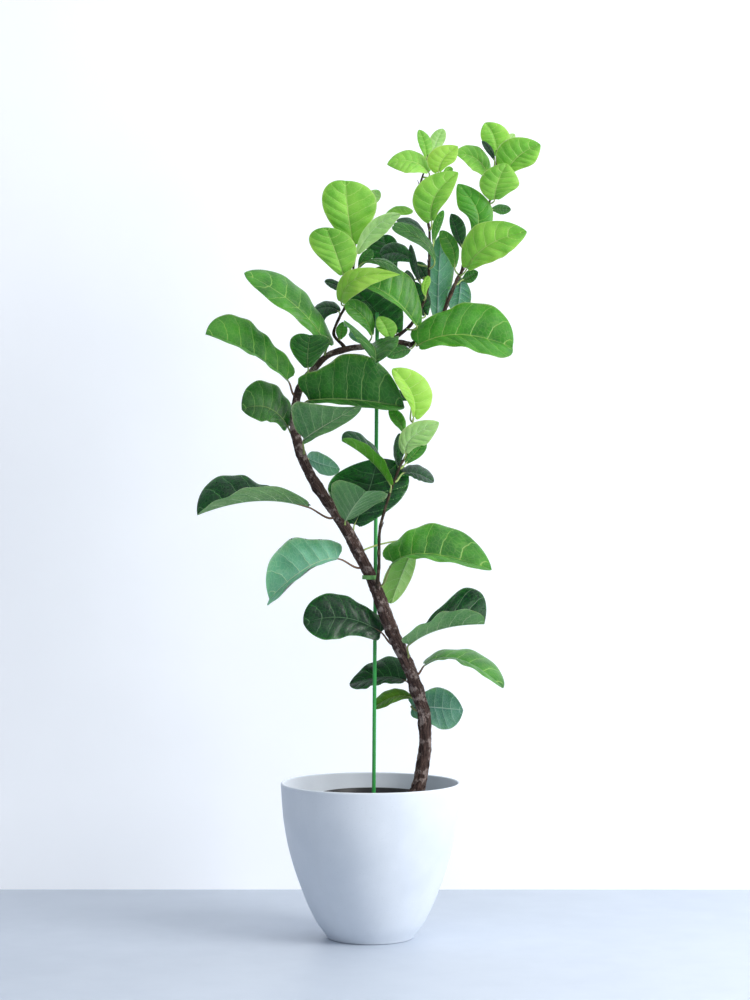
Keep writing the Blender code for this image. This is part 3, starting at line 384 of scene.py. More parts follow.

# Dark and light of the body, colour of the veins, and roughness.
# Painted shade and light: deep, mid and bright are one mature green at three levels; deep is partly painted
# shade, for leaves that sit in shadow, and bright partly painted light, for leaves the window lamp falls on.
TOP = {
    "deep": ((0.002, 0.016, 0.008), (0.007, 0.040, 0.016), (0.085, 0.20, 0.085), 0.30),
    "mid": ((0.010, 0.062, 0.010), (0.030, 0.135, 0.020), (0.26, 0.42, 0.13), 0.36),
    "olive": ((0.035, 0.105, 0.006), (0.12, 0.24, 0.010), (0.25, 0.38, 0.05), 0.38),
    "bright": ((0.014, 0.105, 0.008), (0.060, 0.260, 0.018), (0.33, 0.52, 0.12), 0.36),
    "fresh": ((0.095, 0.310, 0.025), (0.260, 0.560, 0.070), (0.50, 0.68, 0.20), 0.40),
    "lime": ((0.200, 0.470, 0.035), (0.330, 0.620, 0.080), (0.55, 0.74, 0.24), 0.42),
    "pale": ((0.250, 0.470, 0.130), (0.400, 0.640, 0.230), (0.60, 0.78, 0.42), 0.42),
}
UNDER = {
    "sage": ((0.085, 0.200, 0.085), (0.150, 0.300, 0.130), (0.45, 0.60, 0.34), 0.55),
    "teal": ((0.070, 0.190, 0.150), (0.130, 0.300, 0.230), (0.40, 0.58, 0.46), 0.50),
    "mint": ((0.110, 0.330, 0.210), (0.200, 0.480, 0.330), (0.50, 0.70, 0.46), 0.50),
    "clear": ((0.240, 0.450, 0.110), (0.360, 0.580, 0.200), (0.62, 0.78, 0.42), 0.50),
    "fresh": ((0.065, 0.240, 0.018), (0.155, 0.400, 0.040), (0.32, 0.55, 0.16), 0.45),
}


def blade_look(name, dark, light, vein, rough, under):
    """A leaf face: mottled green, a midrib and swept side veins from the blade's own length and width."""
    made, web, place = new_look(name, 0.25 if under else 0.32)
    parts = web.add("ShaderNodeSeparateXYZ")
    web.put(parts.inputs[0], place.outputs["UV"])
    across = web.math("ABSOLUTE", web.line(parts.outputs[0], 2.0, -1.0))
    along = parts.outputs[1]
    sweep = web.times(web.math("POWER", across, VEIN_CURVE), -VEIN_SWEEP * VEINS)
    phase = web.line(along, VEINS, sweep)
    wobble = web.noise(place.outputs["UV"], 7.0, 2.0)
    phase = web.math("ADD", phase, web.line(wobble, 0.30, -0.15))
    from_middle = web.math("SUBTRACT", web.math("FRACT", phase), 0.5)
    vein_near = web.times(web.math("ABSOLUTE", from_middle), 2.0)
    thin = web.line(across, 0.040, 0.900)
    side = web.step(vein_near, thin, 1.0)
    side = web.times(side, web.line(across, -0.55, 1.0))
    fades = web.line(along, -0.030, 0.045 if under else 0.034)
    rib = web.math("SUBTRACT", 1.0, web.step(across, web.times(fades, 0.45), fades))
    veins = web.math("MAXIMUM", rib, web.times(side, 0.85 if under else 0.80))
    cells = web.add("ShaderNodeTexVoronoi", feature="DISTANCE_TO_EDGE")
    web.put(cells.inputs["Vector"], web.scaled(place.outputs["UV"], (14.0, 26.0, 1.0)))
    cells.inputs["Scale"].default_value = 1.0
    net = web.math("SUBTRACT", 1.0, web.step(cells.outputs["Distance"], 0.0, 0.10))
    blotch = web.noise(place.outputs["Object"], 14.0, 4.0)
    speck = web.noise(place.outputs["Object"], 160.0, 3.0)
    body = web.mix(web.step(blotch, 0.30, 0.70), dark, light)
    near = web.times(web.math("POWER", vein_near, 3.0), 0.30)
    body = web.mix(near, body, light)
    body = web.mix(web.times(net, 0.20 if under else 0.13), body, vein)
    body = web.mix(web.times(speck, 0.12), body, dark)
    body = web.mix(web.times(veins, 0.92), body, vein)
    rim = web.step(across, 0.965, 0.995)
    body = web.mix(web.times(rim, 0.45), body, vein)
    web.paint(body, web.line(speck, 0.16, rough - 0.08))
    web.shader.inputs["Subsurface Weight"].default_value = 0.18
    web.shader.inputs["Subsurface Radius"].default_value = (0.4, 1.0, 0.15)
    web.shader.inputs["Subsurface Scale"].default_value = 0.004
    relief = web.times(veins, 1.0 if under else -1.0)
    relief = web.math("ADD", relief, web.times(net, 0.22 if under else -0.22))
    relief = web.math("ADD", relief, web.times(blotch, 0.35))
    web.emboss(relief, 0.55, 0.0016)
    return made


def plain_look(name, dark, light, rough, scale=(1.0, 1.0, 1.0), size=40.0, depth=0.0, specular=0.4):
    """A mottled surface whose noise can be stretched along an axis."""
    made, web, place = new_look(name, specular)
    where = web.scaled(place.outputs["Object"], scale)
    coarse = web.noise(where, size, 5.0, 0.6)
    fine = web.noise(where, size * 6.0, 3.0)
    both = web.line(fine, 0.35, web.times(coarse, 0.65))
    web.paint(web.mix(web.step(both, 0.32, 0.68), dark, light), web.line(fine, 0.14, rough - 0.07))
    if depth:
        web.emboss(both, 0.6, depth)
    return made


def bark_look(name, dark, light, grey):
    """Bark: long dark fissures along the stem (UV along the grain), grey flakes and fine grain."""
    made, web, place = new_look(name, 0.25)
    grain = web.scaled(place.outputs["UV"], (11.0, 1.5, 1.0))
    long = web.noise(grain, 2.2, 6.0, 0.65)
    fine = web.noise(web.scaled(place.outputs["UV"], (30.0, 6.0, 1.0)), 3.0, 4.0, 0.6)
    flakes = web.noise(place.outputs["Object"], 55.0, 5.0, 0.6)
    body = web.mix(web.step(long, 0.36, 0.62), dark, light)
    body = web.mix(web.times(web.step(flakes, 0.50, 0.62), 0.75), body, grey)
    body = web.mix(web.times(web.step(fine, 0.55, 0.40), 0.6), body, dark)
    web.paint(body, web.line(flakes, 0.2, 0.72))
    height = web.math("ADD", web.times(long, 0.8), web.times(fine, 0.5))
    web.emboss(height, 0.9, 0.003)
    return made


# -------- geometry helpers


def unit(v):
    return v / np.linalg.norm(v)


def swing(a, b, v):
    """The vector v, turned the shortest way that takes the direction a to the direction b."""
    a, b = unit(a), unit(b)
    axis = np.cross(a, b)
    first = np.cross(axis, v)
    return v + first + np.cross(axis, first) / (1.0 + a @ b)


def hermite(u):
    """Weights of the start, the slope there, the end and the slope there, a share u of the way along."""
    return 2 * u**3 - 3 * u**2 + 1, u**3 - 2 * u**2 + u, 3 * u**2 - 2 * u**3, u**3 - u**2


def eased(table, t):
    """A smooth line through the pairs of a table, level at its last one."""
    x = np.array([pair[0] for pair in table])
    y = np.array([pair[1] for pair in table])
    slope = np.gradient(y, x)
    slope[-1] = 0.0
    i = np.clip(np.searchsorted(x, t) - 1, 0, len(x) - 2)
    h = x[i + 1] - x[i]
    h0, h1, h2, h3 = hermite((t - x[i]) / h)
    return (h0 * y[i] + h1 * h * slope[i]) + (h2 * y[i + 1] + h3 * h * slope[i + 1])


def half_width(t, outline):
    table = OUTLINES[outline]
    widest = table[-1][0]
    body = eased(table, np.minimum(t, widest))
    power, root = ROUNDING[outline]
    past = np.clip((t - widest) / (1.0 - widest), 0.0, 1.0) ** power
    return np.where(t <= widest, body, (1.0 - past) ** root)


def stem_point(stem, height):
    """Centre, direction and radius of a stem at a height."""
    points = STEMS[stem]
    for low, high in zip(points, points[1:]):
        if low[2] <= height <= high[2]:
            share = (height - low[2]) / (high[2] - low[2])
            low, high = np.array(low), np.array(high)
            spot = low + (high - low) * share
            return spot[:3], unit(high[:3] - low[:3]), spot[3]
    raise ValueError(stem)


def mesh_object(name, points, faces, looks, uvs=None, slots=None, smooth=True):
    """points in centimetres; uvs are one pair for each point; slots is a material index for each face."""
    mesh = bpy.data.meshes.new(name)
    mesh.from_pydata((np.asarray(points, float) * CM).tolist(), [], faces)
    for look in looks:
        mesh.materials.append(look)
    if uvs is not None:
        layer = mesh.uv_layers.new(name="UVMap")
        corners = np.empty(len(mesh.loops), np.int32)
        mesh.loops.foreach_get("vertex_index", corners)
        layer.data.foreach_set("uv", np.asarray(uvs, np.float32)[corners].ravel())
    if slots is not None:
        mesh.polygons.foreach_set("material_index", np.asarray(slots, np.int32))
    mesh.polygons.foreach_set("use_smooth", [smooth] * len(mesh.polygons))
    mesh.update()
    item = bpy.data.objects.new(name, mesh)
    bpy.context.scene.collection.objects.link(item)
    return item


def grid_faces(rows, columns, offset=0, loop=False, flip=False):
    faces = []
    for i in range(rows - 1):
        for j in range(columns if loop else columns - 1):
            k = (j + 1) % columns
            a, b, c, d = (i * columns + j, i * columns + k, (i + 1) * columns + k, (i + 1) * columns + j)
            face = (a + offset, b + offset, c + offset, d + offset)
            faces.append(tuple(reversed(face)) if flip else face)
    return faces


def tube_faces(rings, sides, offset=0):
    """Faces of rings of points, closed at both ends."""
    faces = grid_faces(rings, sides, offset, loop=True)
    faces.append(tuple(offset + j for j in reversed(range(sides))))
    last_ring = offset + (rings - 1) * sides
    faces.append(tuple(last_ring + j for j in range(sides)))
    return faces


def lathe(name, profile, steps, look, centre=0.0, ripple=0.0):
    """A closed round body from (radius, height) pairs that start and end on the axis."""
    turns = np.linspace(0.0, 2.0 * np.pi, steps, endpoint=False)
    points, uvs = [(centre, 0.0, profile[0][1])], [(0.0, 0.0)]
    inner = profile[1:-1]
    for r, z in inner:
        for turn in turns:
            where = Vector((math.cos(turn) * 1.3, math.sin(turn) * 1.3, z * 0.12))
            wide = r * (1.0 + ripple * noise.noise(where))
            points.append((centre + wide * math.cos(turn), wide * math.sin(turn), z))
            uvs.append((turn / FULL_TURN, z * 0.02))
    points.append((centre, 0.0, profile[-1][1]))
    uvs.append((0.0, 1.0))
    faces = grid_faces(len(inner), steps, 1, loop=True)
    last = len(points) - 1
    ring = 1 + (len(inner) - 1) * steps
    for j in range(steps):
        k = (j + 1) % steps
        faces.append((0, 1 + k, 1 + j))
        faces.append((last, ring + j, ring + k))
    return mesh_object(name, points, faces, [look], uvs)


def smooth_run(points, step):
    """Points along a Catmull-Rom line through the given ones, about a step apart, with any extra columns."""
    pts = np.array(points, float)
    pts = np.vstack([2 * pts[0] - pts[1], pts, 2 * pts[-1] - pts[-2]])
    out = []
    for i in range(1, len(pts) - 2):
        a, b, c, d = pts[i - 1], pts[i], pts[i + 1], pts[i + 2]
        count = max(2, int(np.ceil(np.linalg.norm(c[:3] - b[:3]) / step)))
        for k in range(count):
            u = k / count
            square, cube = 2 * a - 5 * b + 4 * c - d, 3 * b - a - 3 * c + d
            out.append(0.5 * (2 * b + (c - a) * u + square * u**2 + cube * u**3))
    out.append(pts[-2])
    return np.array(out)


def swept_points(run, sides, radius_of, start_side=(0.0, -1.0, 0.0)):
    """Rings round a run of points. radius_of(turn, distance, radius) gives each point's radius."""
    centre, radii = run[:, :3], run[:, 3]
    ways = np.gradient(centre, axis=0)
    distance = np.concatenate([[0.0], np.cumsum(np.linalg.norm(np.diff(centre, axis=0), axis=1))])
    side = np.array(start_side)
    side = unit(side - unit(ways[0]) * (side @ unit(ways[0])))
    points, uvs = [], []
    for i, way in enumerate(ways):
        if i:
            side = swing(ways[i - 1], way, side)
        side = unit(side - unit(way) * (side @ unit(way)))
        other = np.cross(unit(way), side)
        for j in range(sides):
            turn = 2.0 * math.pi * j / sides
            r = radius_of(turn, distance[i], radii[i])
            points.append(centre[i] + (side * math.cos(turn) + other * math.sin(turn)) * r)
            uvs.append((abs(2.0 * j / sides - 1.0), distance[i] * 0.1))
    return np.array(points), uvs


def even(turn, far, radius):
    return radius


def swept(name, points, sides, step, looks, radius_of=even):
    run = smooth_run(points, step)
    ring_points, uvs = swept_points(run, sides, radius_of)
    return mesh_object(name, ring_points, tube_faces(len(run), sides), looks, uvs)


# -------- leaves


STALK_SIDES = 10
STALK_STEPS = 14
MARGIN_CYCLE = 6.28
LONG_BLADE = 9
LOBE_AT = 0.06


def petiole_path(stem, height, foot, end):
    """A curve from inside the stem to the blade's foot, which it reaches in the direction end."""
    centre, grain, radius = stem_point(stem, height)
    out = foot - centre
    out = unit(out - grain * (out @ grain))
    start = centre + out * (radius * 0.6)
    reach = np.linalg.norm(foot - start)
    path = []
    for u in np.linspace(0.0, 1.0, STALK_STEPS):
        h0, h1, h2, h3 = hermite(u)
        path.append(start * h0 + out * (reach * h1) + foot * h2 + end * (reach * h3))
    return np.array(path)


def is_mature(outline):
    return "lyre" in outline or "fan" in outline


def leaf(name, entry, looks, seed):
    """One leaf: a stalk, a thin blade with its two faces, side veins sunk into it and a wavy margin."""
    stem, height, foot, middle, tip, left, right, outline = entry
    foot, middle, tip, left, right = (np.array(v, float) for v in (foot, middle, tip, left, right))
    dice = random.Random(seed)
    mature = is_mature(outline)
    outlines = outline.split("/")
    outlines = (outlines[0], outlines[-1])
    widest = [OUTLINES[side][-1][0] for side in outlines]
    length = np.linalg.norm(tip - foot)
    rows, half = (58, 17) if length > LONG_BLADE else (40, 12)
    t = 1.0 - (1.0 - np.linspace(0.0, 1.0, rows)) ** 1.45
    s = np.linspace(-1.0, 1.0, 2 * half + 1)
    share = np.abs(s)

    def spine(q):
        at_foot, at_middle, at_tip = (1 - q) * (1 - 2 * q), 4 * q * (1 - q), q * (2 * q - 1)
        return np.outer(at_foot, foot) + np.outer(at_middle, middle) + np.outer(at_tip, tip)

    def tangent(q):
        return foot * (4 * q - 3) + middle * (4 - 8 * q) + tip * (4 * q - 1)

    wings = [edge - spine(np.array([w]))[0] for w, edge in zip(widest, (left, right))]
    line = spine(t)
    wide = [half_width(t, side) for side in outlines]
    top = np.empty((rows, len(s), 3))
    low = np.empty_like(top)
    size = 0.5 * (np.linalg.norm(wings[0]) + np.linalg.norm(wings[1]))
    left_rate, left_start = 2.6 + dice.random() * 1.6, dice.random() * MARGIN_CYCLE
    right_rate, right_start = 3.2 + dice.random() * 1.6, dice.random() * MARGIN_CYCLE
    wave_size = (0.050 if mature else 0.026) * size
    thick = 0.032 if mature else 0.024
    rib_wide = 0.16 + 0.006 * length
    first_normal = None
    for i, q in enumerate(t):
        way = tangent(q)
        a, b = (swing(tangent(w), way, wing) for w, wing in zip(widest, wings))
        normal = unit(np.cross(b - a, way))
        a, b = a * wide[0][i], b * wide[1][i]
        if first_normal is None:
            first_normal = normal
        lobe = (q / LOBE_AT) * math.exp(1.0 - q / LOBE_AT) if q < 0.6 else 0.0
        lengths = np.where(s < 0, np.linalg.norm(a), np.linalg.norm(b))
        sides = np.where(s[:, None] < 0, a, b) * share[:, None]
        phase = q * VEINS - VEIN_SWEEP * VEINS * share**VEIN_CURVE
        hollow = 1.0 - np.abs((phase % 1.0) - 0.5) * 2.0
        fullness = np.sin(np.pi * np.clip(share, 0, 1)) ** 0.8 * math.sin(math.pi * q) ** 0.5
        puff = (1.0 - (1.0 - hollow) ** 2.0) * fullness
        wavy = np.where(
            s < 0,
            np.sin(q * left_rate * MARGIN_CYCLE + left_start) + 0.5 * np.sin(q * 13.0 + right_start),
            np.sin(q * right_rate * MARGIN_CYCLE + right_start) + 0.5 * np.sin(q * 11.0 + left_start),
        )
        lift = 0.2 * lengths * (share - share**2)
        lift = lift + 0.040 * size * puff
        lift = lift + wave_size * wavy * share**2.6 * math.sin(math.pi * min(q * 1.1, 1.0)) ** 0.7
        across = share * lengths
        lift = lift - 0.06 * np.exp(-((across / 0.22) ** 2))
        middle_line = line[i] + sides - unit(way) * (0.06 * length * share**2 * lobe)[:, None]
        edge = 1.0 - share**6
        taper = (1.0 - q) ** 0.8
        rib = (0.05 + 0.15 * taper) * np.exp(-((across / (rib_wide * (0.35 + 0.65 * taper))) ** 2))
        under_vein = np.clip(1.0 - hollow * 4.5, 0.0, 1.0) * (1 - share)
        side_rib = 0.045 * taper * under_vein * np.clip(across * 2.0, 0, 1)
        top[i] = middle_line + normal * (lift + thick * edge)[:, None]
        low[i] = middle_line + normal * (lift - thick * edge - rib - side_rib)[:, None]
    columns = len(s)
    grid = np.stack(np.meshgrid(t, s * 0.5 + 0.5, indexing="ij"), -1)[..., ::-1].reshape(-1, 2)
    points = np.vstack([top.reshape(-1, 3), low.reshape(-1, 3)])
    uvs = np.vstack([grid, grid])
    faces = grid_faces(rows, columns)
    upper = len(faces)
    faces += grid_faces(rows, columns, rows * columns, flip=True)
    slots = [0] * upper + [1] * (len(faces) - upper)
    count = rows * columns
    left_rim = [i * columns for i in range(rows)]
    right_rim = [i * columns + columns - 1 for i in range(rows)]
    for rim, flip in ((left_rim, False), (right_rim, True)):
        for a, b in zip(rim, rim[1:]):
            face = (a, b, b + count, a + count)
            faces.append(face if flip else tuple(reversed(face)))
            slots.append(1)
    for j in range(columns - 1):
        faces.append((j, j + count, j + 1 + count, j + 1))
        slots.append(1)

    stalk = petiole_path(stem, height, foot - first_normal * 0.05, unit(tangent(0.0)))
    tail = spine(np.linspace(0.02, 0.12, 4)) - first_normal * 0.09
    path = np.vstack([stalk, tail])
    radii = np.concatenate([np.linspace(0.27, 0.19, len(stalk)), np.linspace(0.17, 0.06, 4)])
    if not mature:
        radii = radii * 0.85
    ring, ring_uvs = swept_points(np.column_stack([path, radii]), STALK_SIDES, even)
    start = len(points)
    points = np.vstack([points, ring])
    uvs = np.vstack([uvs, ring_uvs])
    more = tube_faces(len(path), STALK_SIDES, start)
    faces += more
    slots += [2] * len(more)
    return mesh_object(name + "_look", points, faces, looks, uvs, slots)


top_looks = {k: blade_look("top_" + k, *v, False) for k, v in TOP.items()}
under_looks = {k: blade_look("under_" + k, *v, True) for k, v in UNDER.items()}
stalk_old = plain_look("stalk_mature", (0.16, 0.20, 0.06), (0.30, 0.36, 0.12), 0.5, size=60.0, depth=0.0004)
stalk_new = plain_look("stalk_young", (0.30, 0.42, 0.10), (0.44, 0.56, 0.20), 0.5, size=60.0, depth=0.0003)
stalk_red = plain_look("stalk_russet", (0.14, 0.07, 0.045), (0.26, 0.15, 0.08), 0.55, size=60.0, depth=0.0005)

# The leaves with a reddish brown stalk.
RUSSET = ("leaf_12", "leaf_09", "leaf_18", "leaf_04", "leaf_06", "leaf_03")
for number, entry in enumerate(LEAVES + tuple(extra + ("oval",) for extra in EXTRAS)):
    major = number < len(LEAVES)
    tag = f"{number + 1:02d}" if major else f"m{number + 1 - len(LEAVES):02d}"
    name = "leaf_" + tag if major else "minor_" + tag[1:]
    tone = TONE_OF[tag]
    stalk = stalk_red if name in RUSSET else (stalk_old if is_mature(entry[-1]) else stalk_new)
    piece = leaf(name, entry, [top_looks[tone[0]], under_looks[tone[1]], stalk], number)
    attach(piece, "root")
    if major:
        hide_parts(name)

# -------- stems


def rough_radius(strength, knots):
    """Bark relief: fissures along the grain, swellings at old leaf scars."""

    def radius_of(turn, far, radius):
        x, y = math.cos(turn), math.sin(turn)
        ridge = abs(noise.noise(Vector((x * 3.4, y * 3.4, far * 0.28 + 3.0))))
        flake = noise.noise(Vector((x * 7.0, y * 7.0, far * 1.1)))
        grain = noise.noise(Vector((x * 15.0, y * 15.0, far * 0.9)))
        swell = noise.noise(Vector((x * 0.8, y * 0.8, far * 0.16 + 9.0)))
        bump = strength * (0.14 * swell + 0.24 * ridge - 0.10 + 0.07 * flake + 0.05 * grain)
        for where, size in knots:
            nearness = math.exp(-(((far - where) / 0.7) ** 2))
            bump += size * nearness * (0.55 + 0.45 * math.cos(turn * 2.0 + where))
        return radius * (1.0 + bump)

    return radius_of


bark = bark_look("bark_trunk", (0.014, 0.008, 0.007), (0.130, 0.080, 0.066), (0.42, 0.34, 0.31))
twig_bark = bark_look("bark_shoot", (0.015, 0.009, 0.007), (0.080, 0.055, 0.035), (0.17, 0.13, 0.09))
scar = [(3.0 + 7.3 * i + (i * 37 % 5) * 0.5, 0.10) for i in range(20)]
stems = {
    "trunk": (72, 0.12, bark, 1.0, scar),
    SIDE: (20, 0.12, twig_bark, 0.7, [(2.0 + 3.1 * i, 0.22) for i in range(12)]),
    LEFT: (20, 0.12, twig_bark, 0.7, [(1.0 + 3.3 * i, 0.22) for i in range(11)]),
    MIDDLE: (22, 0.12, twig_bark, 0.7, [(1.5 + 3.4 * i, 0.22) for i in range(13)]),
    RIGHT: (24, 0.12, twig_bark, 0.7, [(1.5 + 3.6 * i, 0.22) for i in range(13)]),
}
for name, (sides, step, look, strength, knots) in stems.items():
    points = list(STEMS[name])
    if name != "trunk":
        first, second = np.array(points[0]), np.array(points[1])
        lead = first + (first - second) * 0.35
        points.insert(0, tuple(lead))
    piece = swept(name + "_look", points, sides, step, [look], rough_radius(strength, knots))
    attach(piece, "root")
    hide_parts(name)

# Papery scales on the stems: stem, heights and size, in centimetres.
HUSK_ROWS = 7
HUSK_COLUMNS = 5
HUSK_RING = 2 * HUSK_COLUMNS
husk = plain_look("husk", (0.045, 0.022, 0.014), (0.13, 0.075, 0.045), 0.7, size=90.0, depth=0.0006)
SCALES = (
    (
        "trunk",
        (49.5, 56.8, 62.4, 67.2, 72.6, 77.2, 82.6, 88.5, 93.0, 99.4, 104.6, 109.2, 113.8, 119.0, 124.6),
        1.0,
    ),
    (RIGHT, (138.4, 139.6, 141.0, 142.2, 143.4, 145.6, 146.8, 149.4, 151.0), 2.2),
    (SIDE, (80.4, 82.0, 92.0, 94.6, 97.8, 104.2, 108.0), 1.5),
    (LEFT, (136.0, 139.2, 142.0, 146.4), 1.6),
    (MIDDLE, (137.0, 138.0, 146.2, 150.8, 158.8, 162.4, 168.6), 1.7),
)


def scale_points(stem, height, turn, size):
    """A small pointed husk that stands off the stem and points up it."""
    centre, grain, radius = stem_point(stem, height)
    side = unit(np.cross(grain, np.array([math.cos(turn), math.sin(turn), 0.2])))
    other = np.cross(grain, side)
    points = []
    for i in range(HUSK_ROWS):
        u = i / (HUSK_ROWS - 1)
        wide = 0.28 * math.sin(math.pi * (0.18 + 0.82 * u)) * size / 2.0
        off = radius * 0.9 + 0.30 * size * u**1.6 * 0.5
        base = centre + grain * (size * u) + side * off
        for face in (0.0, 0.035):
            for j in range(HUSK_COLUMNS):
                v = (j - 2) / 2
                points.append(base + other * (wide * v) - side * (0.10 * v * v * size / 2.0 + face))
    faces = []
    for i in range(HUSK_ROWS - 1):
        for j in range(HUSK_COLUMNS - 1):
            a = i * HUSK_RING + j
            b = a + HUSK_COLUMNS
            faces.append((a, a + 1, a + 1 + HUSK_RING, a + HUSK_RING))
            faces.append((b + HUSK_RING, b + 1 + HUSK_RING, b + 1, b))
        for j in (0, HUSK_COLUMNS - 1):
            a = i * HUSK_RING + j
            b = a + HUSK_COLUMNS
            faces.append((a, a + HUSK_RING, b + HUSK_RING, b))
    return points, faces


points, faces = [], []
dice = random.Random(7)
for stem, heights, size in SCALES:
    for k, height in enumerate(heights):
        got, quads = scale_points(stem, height, 2.4 * k + dice.random(), size * (0.7 + 0.5 * dice.random()))
        faces += [tuple(a + len(points) for a in quad) for quad in quads]
        points += got
piece = mesh_object("shoot_husks", points, faces, [husk])
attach(piece, "root")

# -------- stake and tie

STAKE_RADIUS = 0.42
stake_low, stake_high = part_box("stake")
foot = np.array([(stake_low.x + STAKE_RADIUS * CM) / CM, 0.0, stake_low.z / CM])
head = np.array([(stake_high.x - STAKE_RADIUS * CM) / CM, 0.0, stake_high.z / CM])
green = plain_look(
    "stake_green", (0.020, 0.270, 0.045), (0.040, 0.370, 0.075), 0.36, (1.0, 1.0, 0.2), 30.0, 0.0003, 0.5
)
run = [tuple(foot + (head - foot) * u) + (STAKE_RADIUS,) for u in (0.0, 0.25, 0.5, 0.75, 0.993)]
run.append(tuple(head) + (0.25,))


def stake_radius(turn, far, radius):
    """Twelve fine ribs round the coating, and a raised band now and then along it."""
    return radius * (1.0 + 0.018 * math.cos(turn * 12.0) + 0.03 * max(0.0, math.cos(far * 2.1)) ** 12)


piece = swept("stake_look", run, 48, 0.12, [green], stake_radius)
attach(piece, "root")
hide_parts("stake")

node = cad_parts["stake_tie"]
piece = bpy.data.objects.new("stake_tie_look", node.data.copy())
piece.matrix_world = node.matrix_world
scene = bpy.context.scene
scene.collection.objects.link(piece)
piece.data.materials.clear()
tie_green = plain_look("tie_green", (0.10, 0.30, 0.07), (0.20, 0.45, 0.15), 0.55, size=70.0, depth=0.0005)
piece.data.materials.append(tie_green)
bevel = piece.modifiers.new("soft", "BEVEL")
bevel.width = 0.0004
bevel.segments = 2
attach(piece, "root")
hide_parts("stake_tie")

# -------- pots and soil


def stone_look(name):
    """Matte off-white stoneware: faint clouds, fine pits, a cool tint."""
    made, web, place = new_look(name, 0.35)
    cloud = web.noise(place.outputs["Object"], 6.0, 4.0)
    grit = web.noise(place.outputs["Object"], 420.0, 3.0)
    streak = web.noise(web.scaled(place.outputs["Object"], (6.0, 6.0, 1.0)), 5.0, 3.0)
    body = web.mix(web.step(cloud, 0.3, 0.7), (0.67, 0.725, 0.80), (0.75, 0.80, 0.87))
    body = web.mix(web.times(web.step(streak, 0.45, 0.75), 0.25), body, (0.66, 0.71, 0.77))
    body = web.mix(web.times(web.step(grit, 0.62, 0.72), 0.25), body, (0.50, 0.55, 0.62))
    web.paint(body, web.line(cloud, 0.12, 0.50))
    web.emboss(grit, 0.25, 0.0006)
    return made


pot_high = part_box("pot")[1]
rim = pot_high.x / CM
tall = pot_high.z / CM
LIP_RADIUS = 0.3
# The planter's wall: outer radius and height, then inner radius and height.
WALL = (
    (9.8, 0.35, 9.9, 1.1), (12.1, 3.5, 11.35, 3.5), (13.9, 7.0, 13.2, 7.0), (15.45, 10.8, 14.75, 10.8),
    (16.9, 14.8, 16.2, 14.8), (18.0, 18.5, 17.3, 18.5), (18.9, 22.4, 18.2, 22.4), (19.7, 27.5, 19.05, 27.5),
    (rim, tall - 0.35, rim - 2 * LIP_RADIUS, tall - 0.35),
)
outer = smooth_run([spot[:2] for spot in WALL], 0.5)
inner = smooth_run([spot[2:] for spot in reversed(WALL)], 1.0)
lip = [
    (rim - LIP_RADIUS + LIP_RADIUS * math.cos(a), tall - LIP_RADIUS + LIP_RADIUS * math.sin(a))
    for a in np.linspace(0.15, math.pi - 0.15, 9)
]
profile = [(0.0, 0.12), (9.0, 0.12), (9.2, 0.0), (9.5, 0.0), (9.72, 0.1)]
profile += [tuple(p[:2]) for p in outer] + lip + [tuple(p[:2]) for p in inner] + [(9.5, 0.8), (0.0, 0.8)]
stone = stone_look("stoneware")
piece = lathe("pot_look", profile, 180, stone, ripple=0.0012)
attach(piece, "root")
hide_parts("pot")

low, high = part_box("nursery_pot")
middle_x = (low.x + high.x) / 2 / CM
edge = (high.x - low.x) / 2 / CM
top = high.z / CM
base = low.z / CM
NURSERY_FOOT = 9.0
NURSERY_STEPS = 14
shell = [(0.0, base), (8.7, base), (NURSERY_FOOT, base + 0.25)]
for i in range(1, NURSERY_STEPS + 1):
    z = base + 0.25 + (top - 2.0 - base) * i / NURSERY_STEPS
    shell.append((NURSERY_FOOT + (edge - 0.35 - NURSERY_FOOT) * i / NURSERY_STEPS, z))
shell += [(edge - 0.3, top - 1.55), (edge - 0.06, top - 1.45), (edge, top - 1.3), (edge, top - 0.15)]
shell += [(edge - 0.06, top - 0.03), (edge - 0.16, top), (edge - 0.32, top), (edge - 0.40, top - 0.08)]
shell += [(edge - 0.44, top - 1.5), (8.8, base + 0.4), (0.0, base + 0.22)]
black = plain_look(
    "nursery_black", (0.012, 0.012, 0.014), (0.028, 0.028, 0.030), 0.45, size=50.0, depth=0.0003, specular=0.5
)
piece = lathe("nursery_pot_look", shell, 120, black, middle_x)
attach(piece, "root")
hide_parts("nursery_pot")

earth = plain_look(
    "potting_mix", (0.010, 0.006, 0.004), (0.060, 0.038, 0.024), 0.9, size=130.0, depth=0.004, specular=0.2
)
crumb = plain_look(
    "crumbs", (0.020, 0.012, 0.008), (0.11, 0.075, 0.05), 0.9, size=150.0, depth=0.001, specular=0.2
)
trunk_x, trunk_y = TRUNK[0][:2]
STAKE_X = 0.7
soil_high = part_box("soil")[1].z / CM
soil_edge = edge - 0.55
soil_top = soil_high - 0.25
points, faces = [], []
rings, turns = 46, 120
for i in range(rings):
    r = soil_edge * (i + 0.5) / rings
    for j in range(turns):
        a = 2 * math.pi * j / turns
        x, y = middle_x + r * math.cos(a), r * math.sin(a)
        rise = 0.28 * noise.noise(Vector((x * 0.35, y * 0.35, 1.0)))
        rise += 0.18 * noise.noise(Vector((x * 1.6, y * 1.6, 4.0)))
        rise += 0.10 * noise.noise(Vector((x * 4.0, y * 4.0, 8.0)))
        mound = 0.25 * math.exp(-((x - trunk_x) ** 2 + (y - trunk_y) ** 2) / 8.0)
        points.append((x, y, min(soil_top + rise + mound, soil_high + 0.15)))
faces = grid_faces(rings, turns, loop=True)
faces.append(tuple(range(turns)))
skirt = len(points)
narrow = soil_edge - 1.0
for j in range(turns):
    a = 2 * math.pi * j / turns
    points.append((middle_x + narrow * math.cos(a), narrow * math.sin(a), soil_top - 6.0))
last_ring = (rings - 1) * turns
for j in range(turns):
    k = (j + 1) % turns
    faces.append((last_ring + j, last_ring + k, skirt + k, skirt + j))
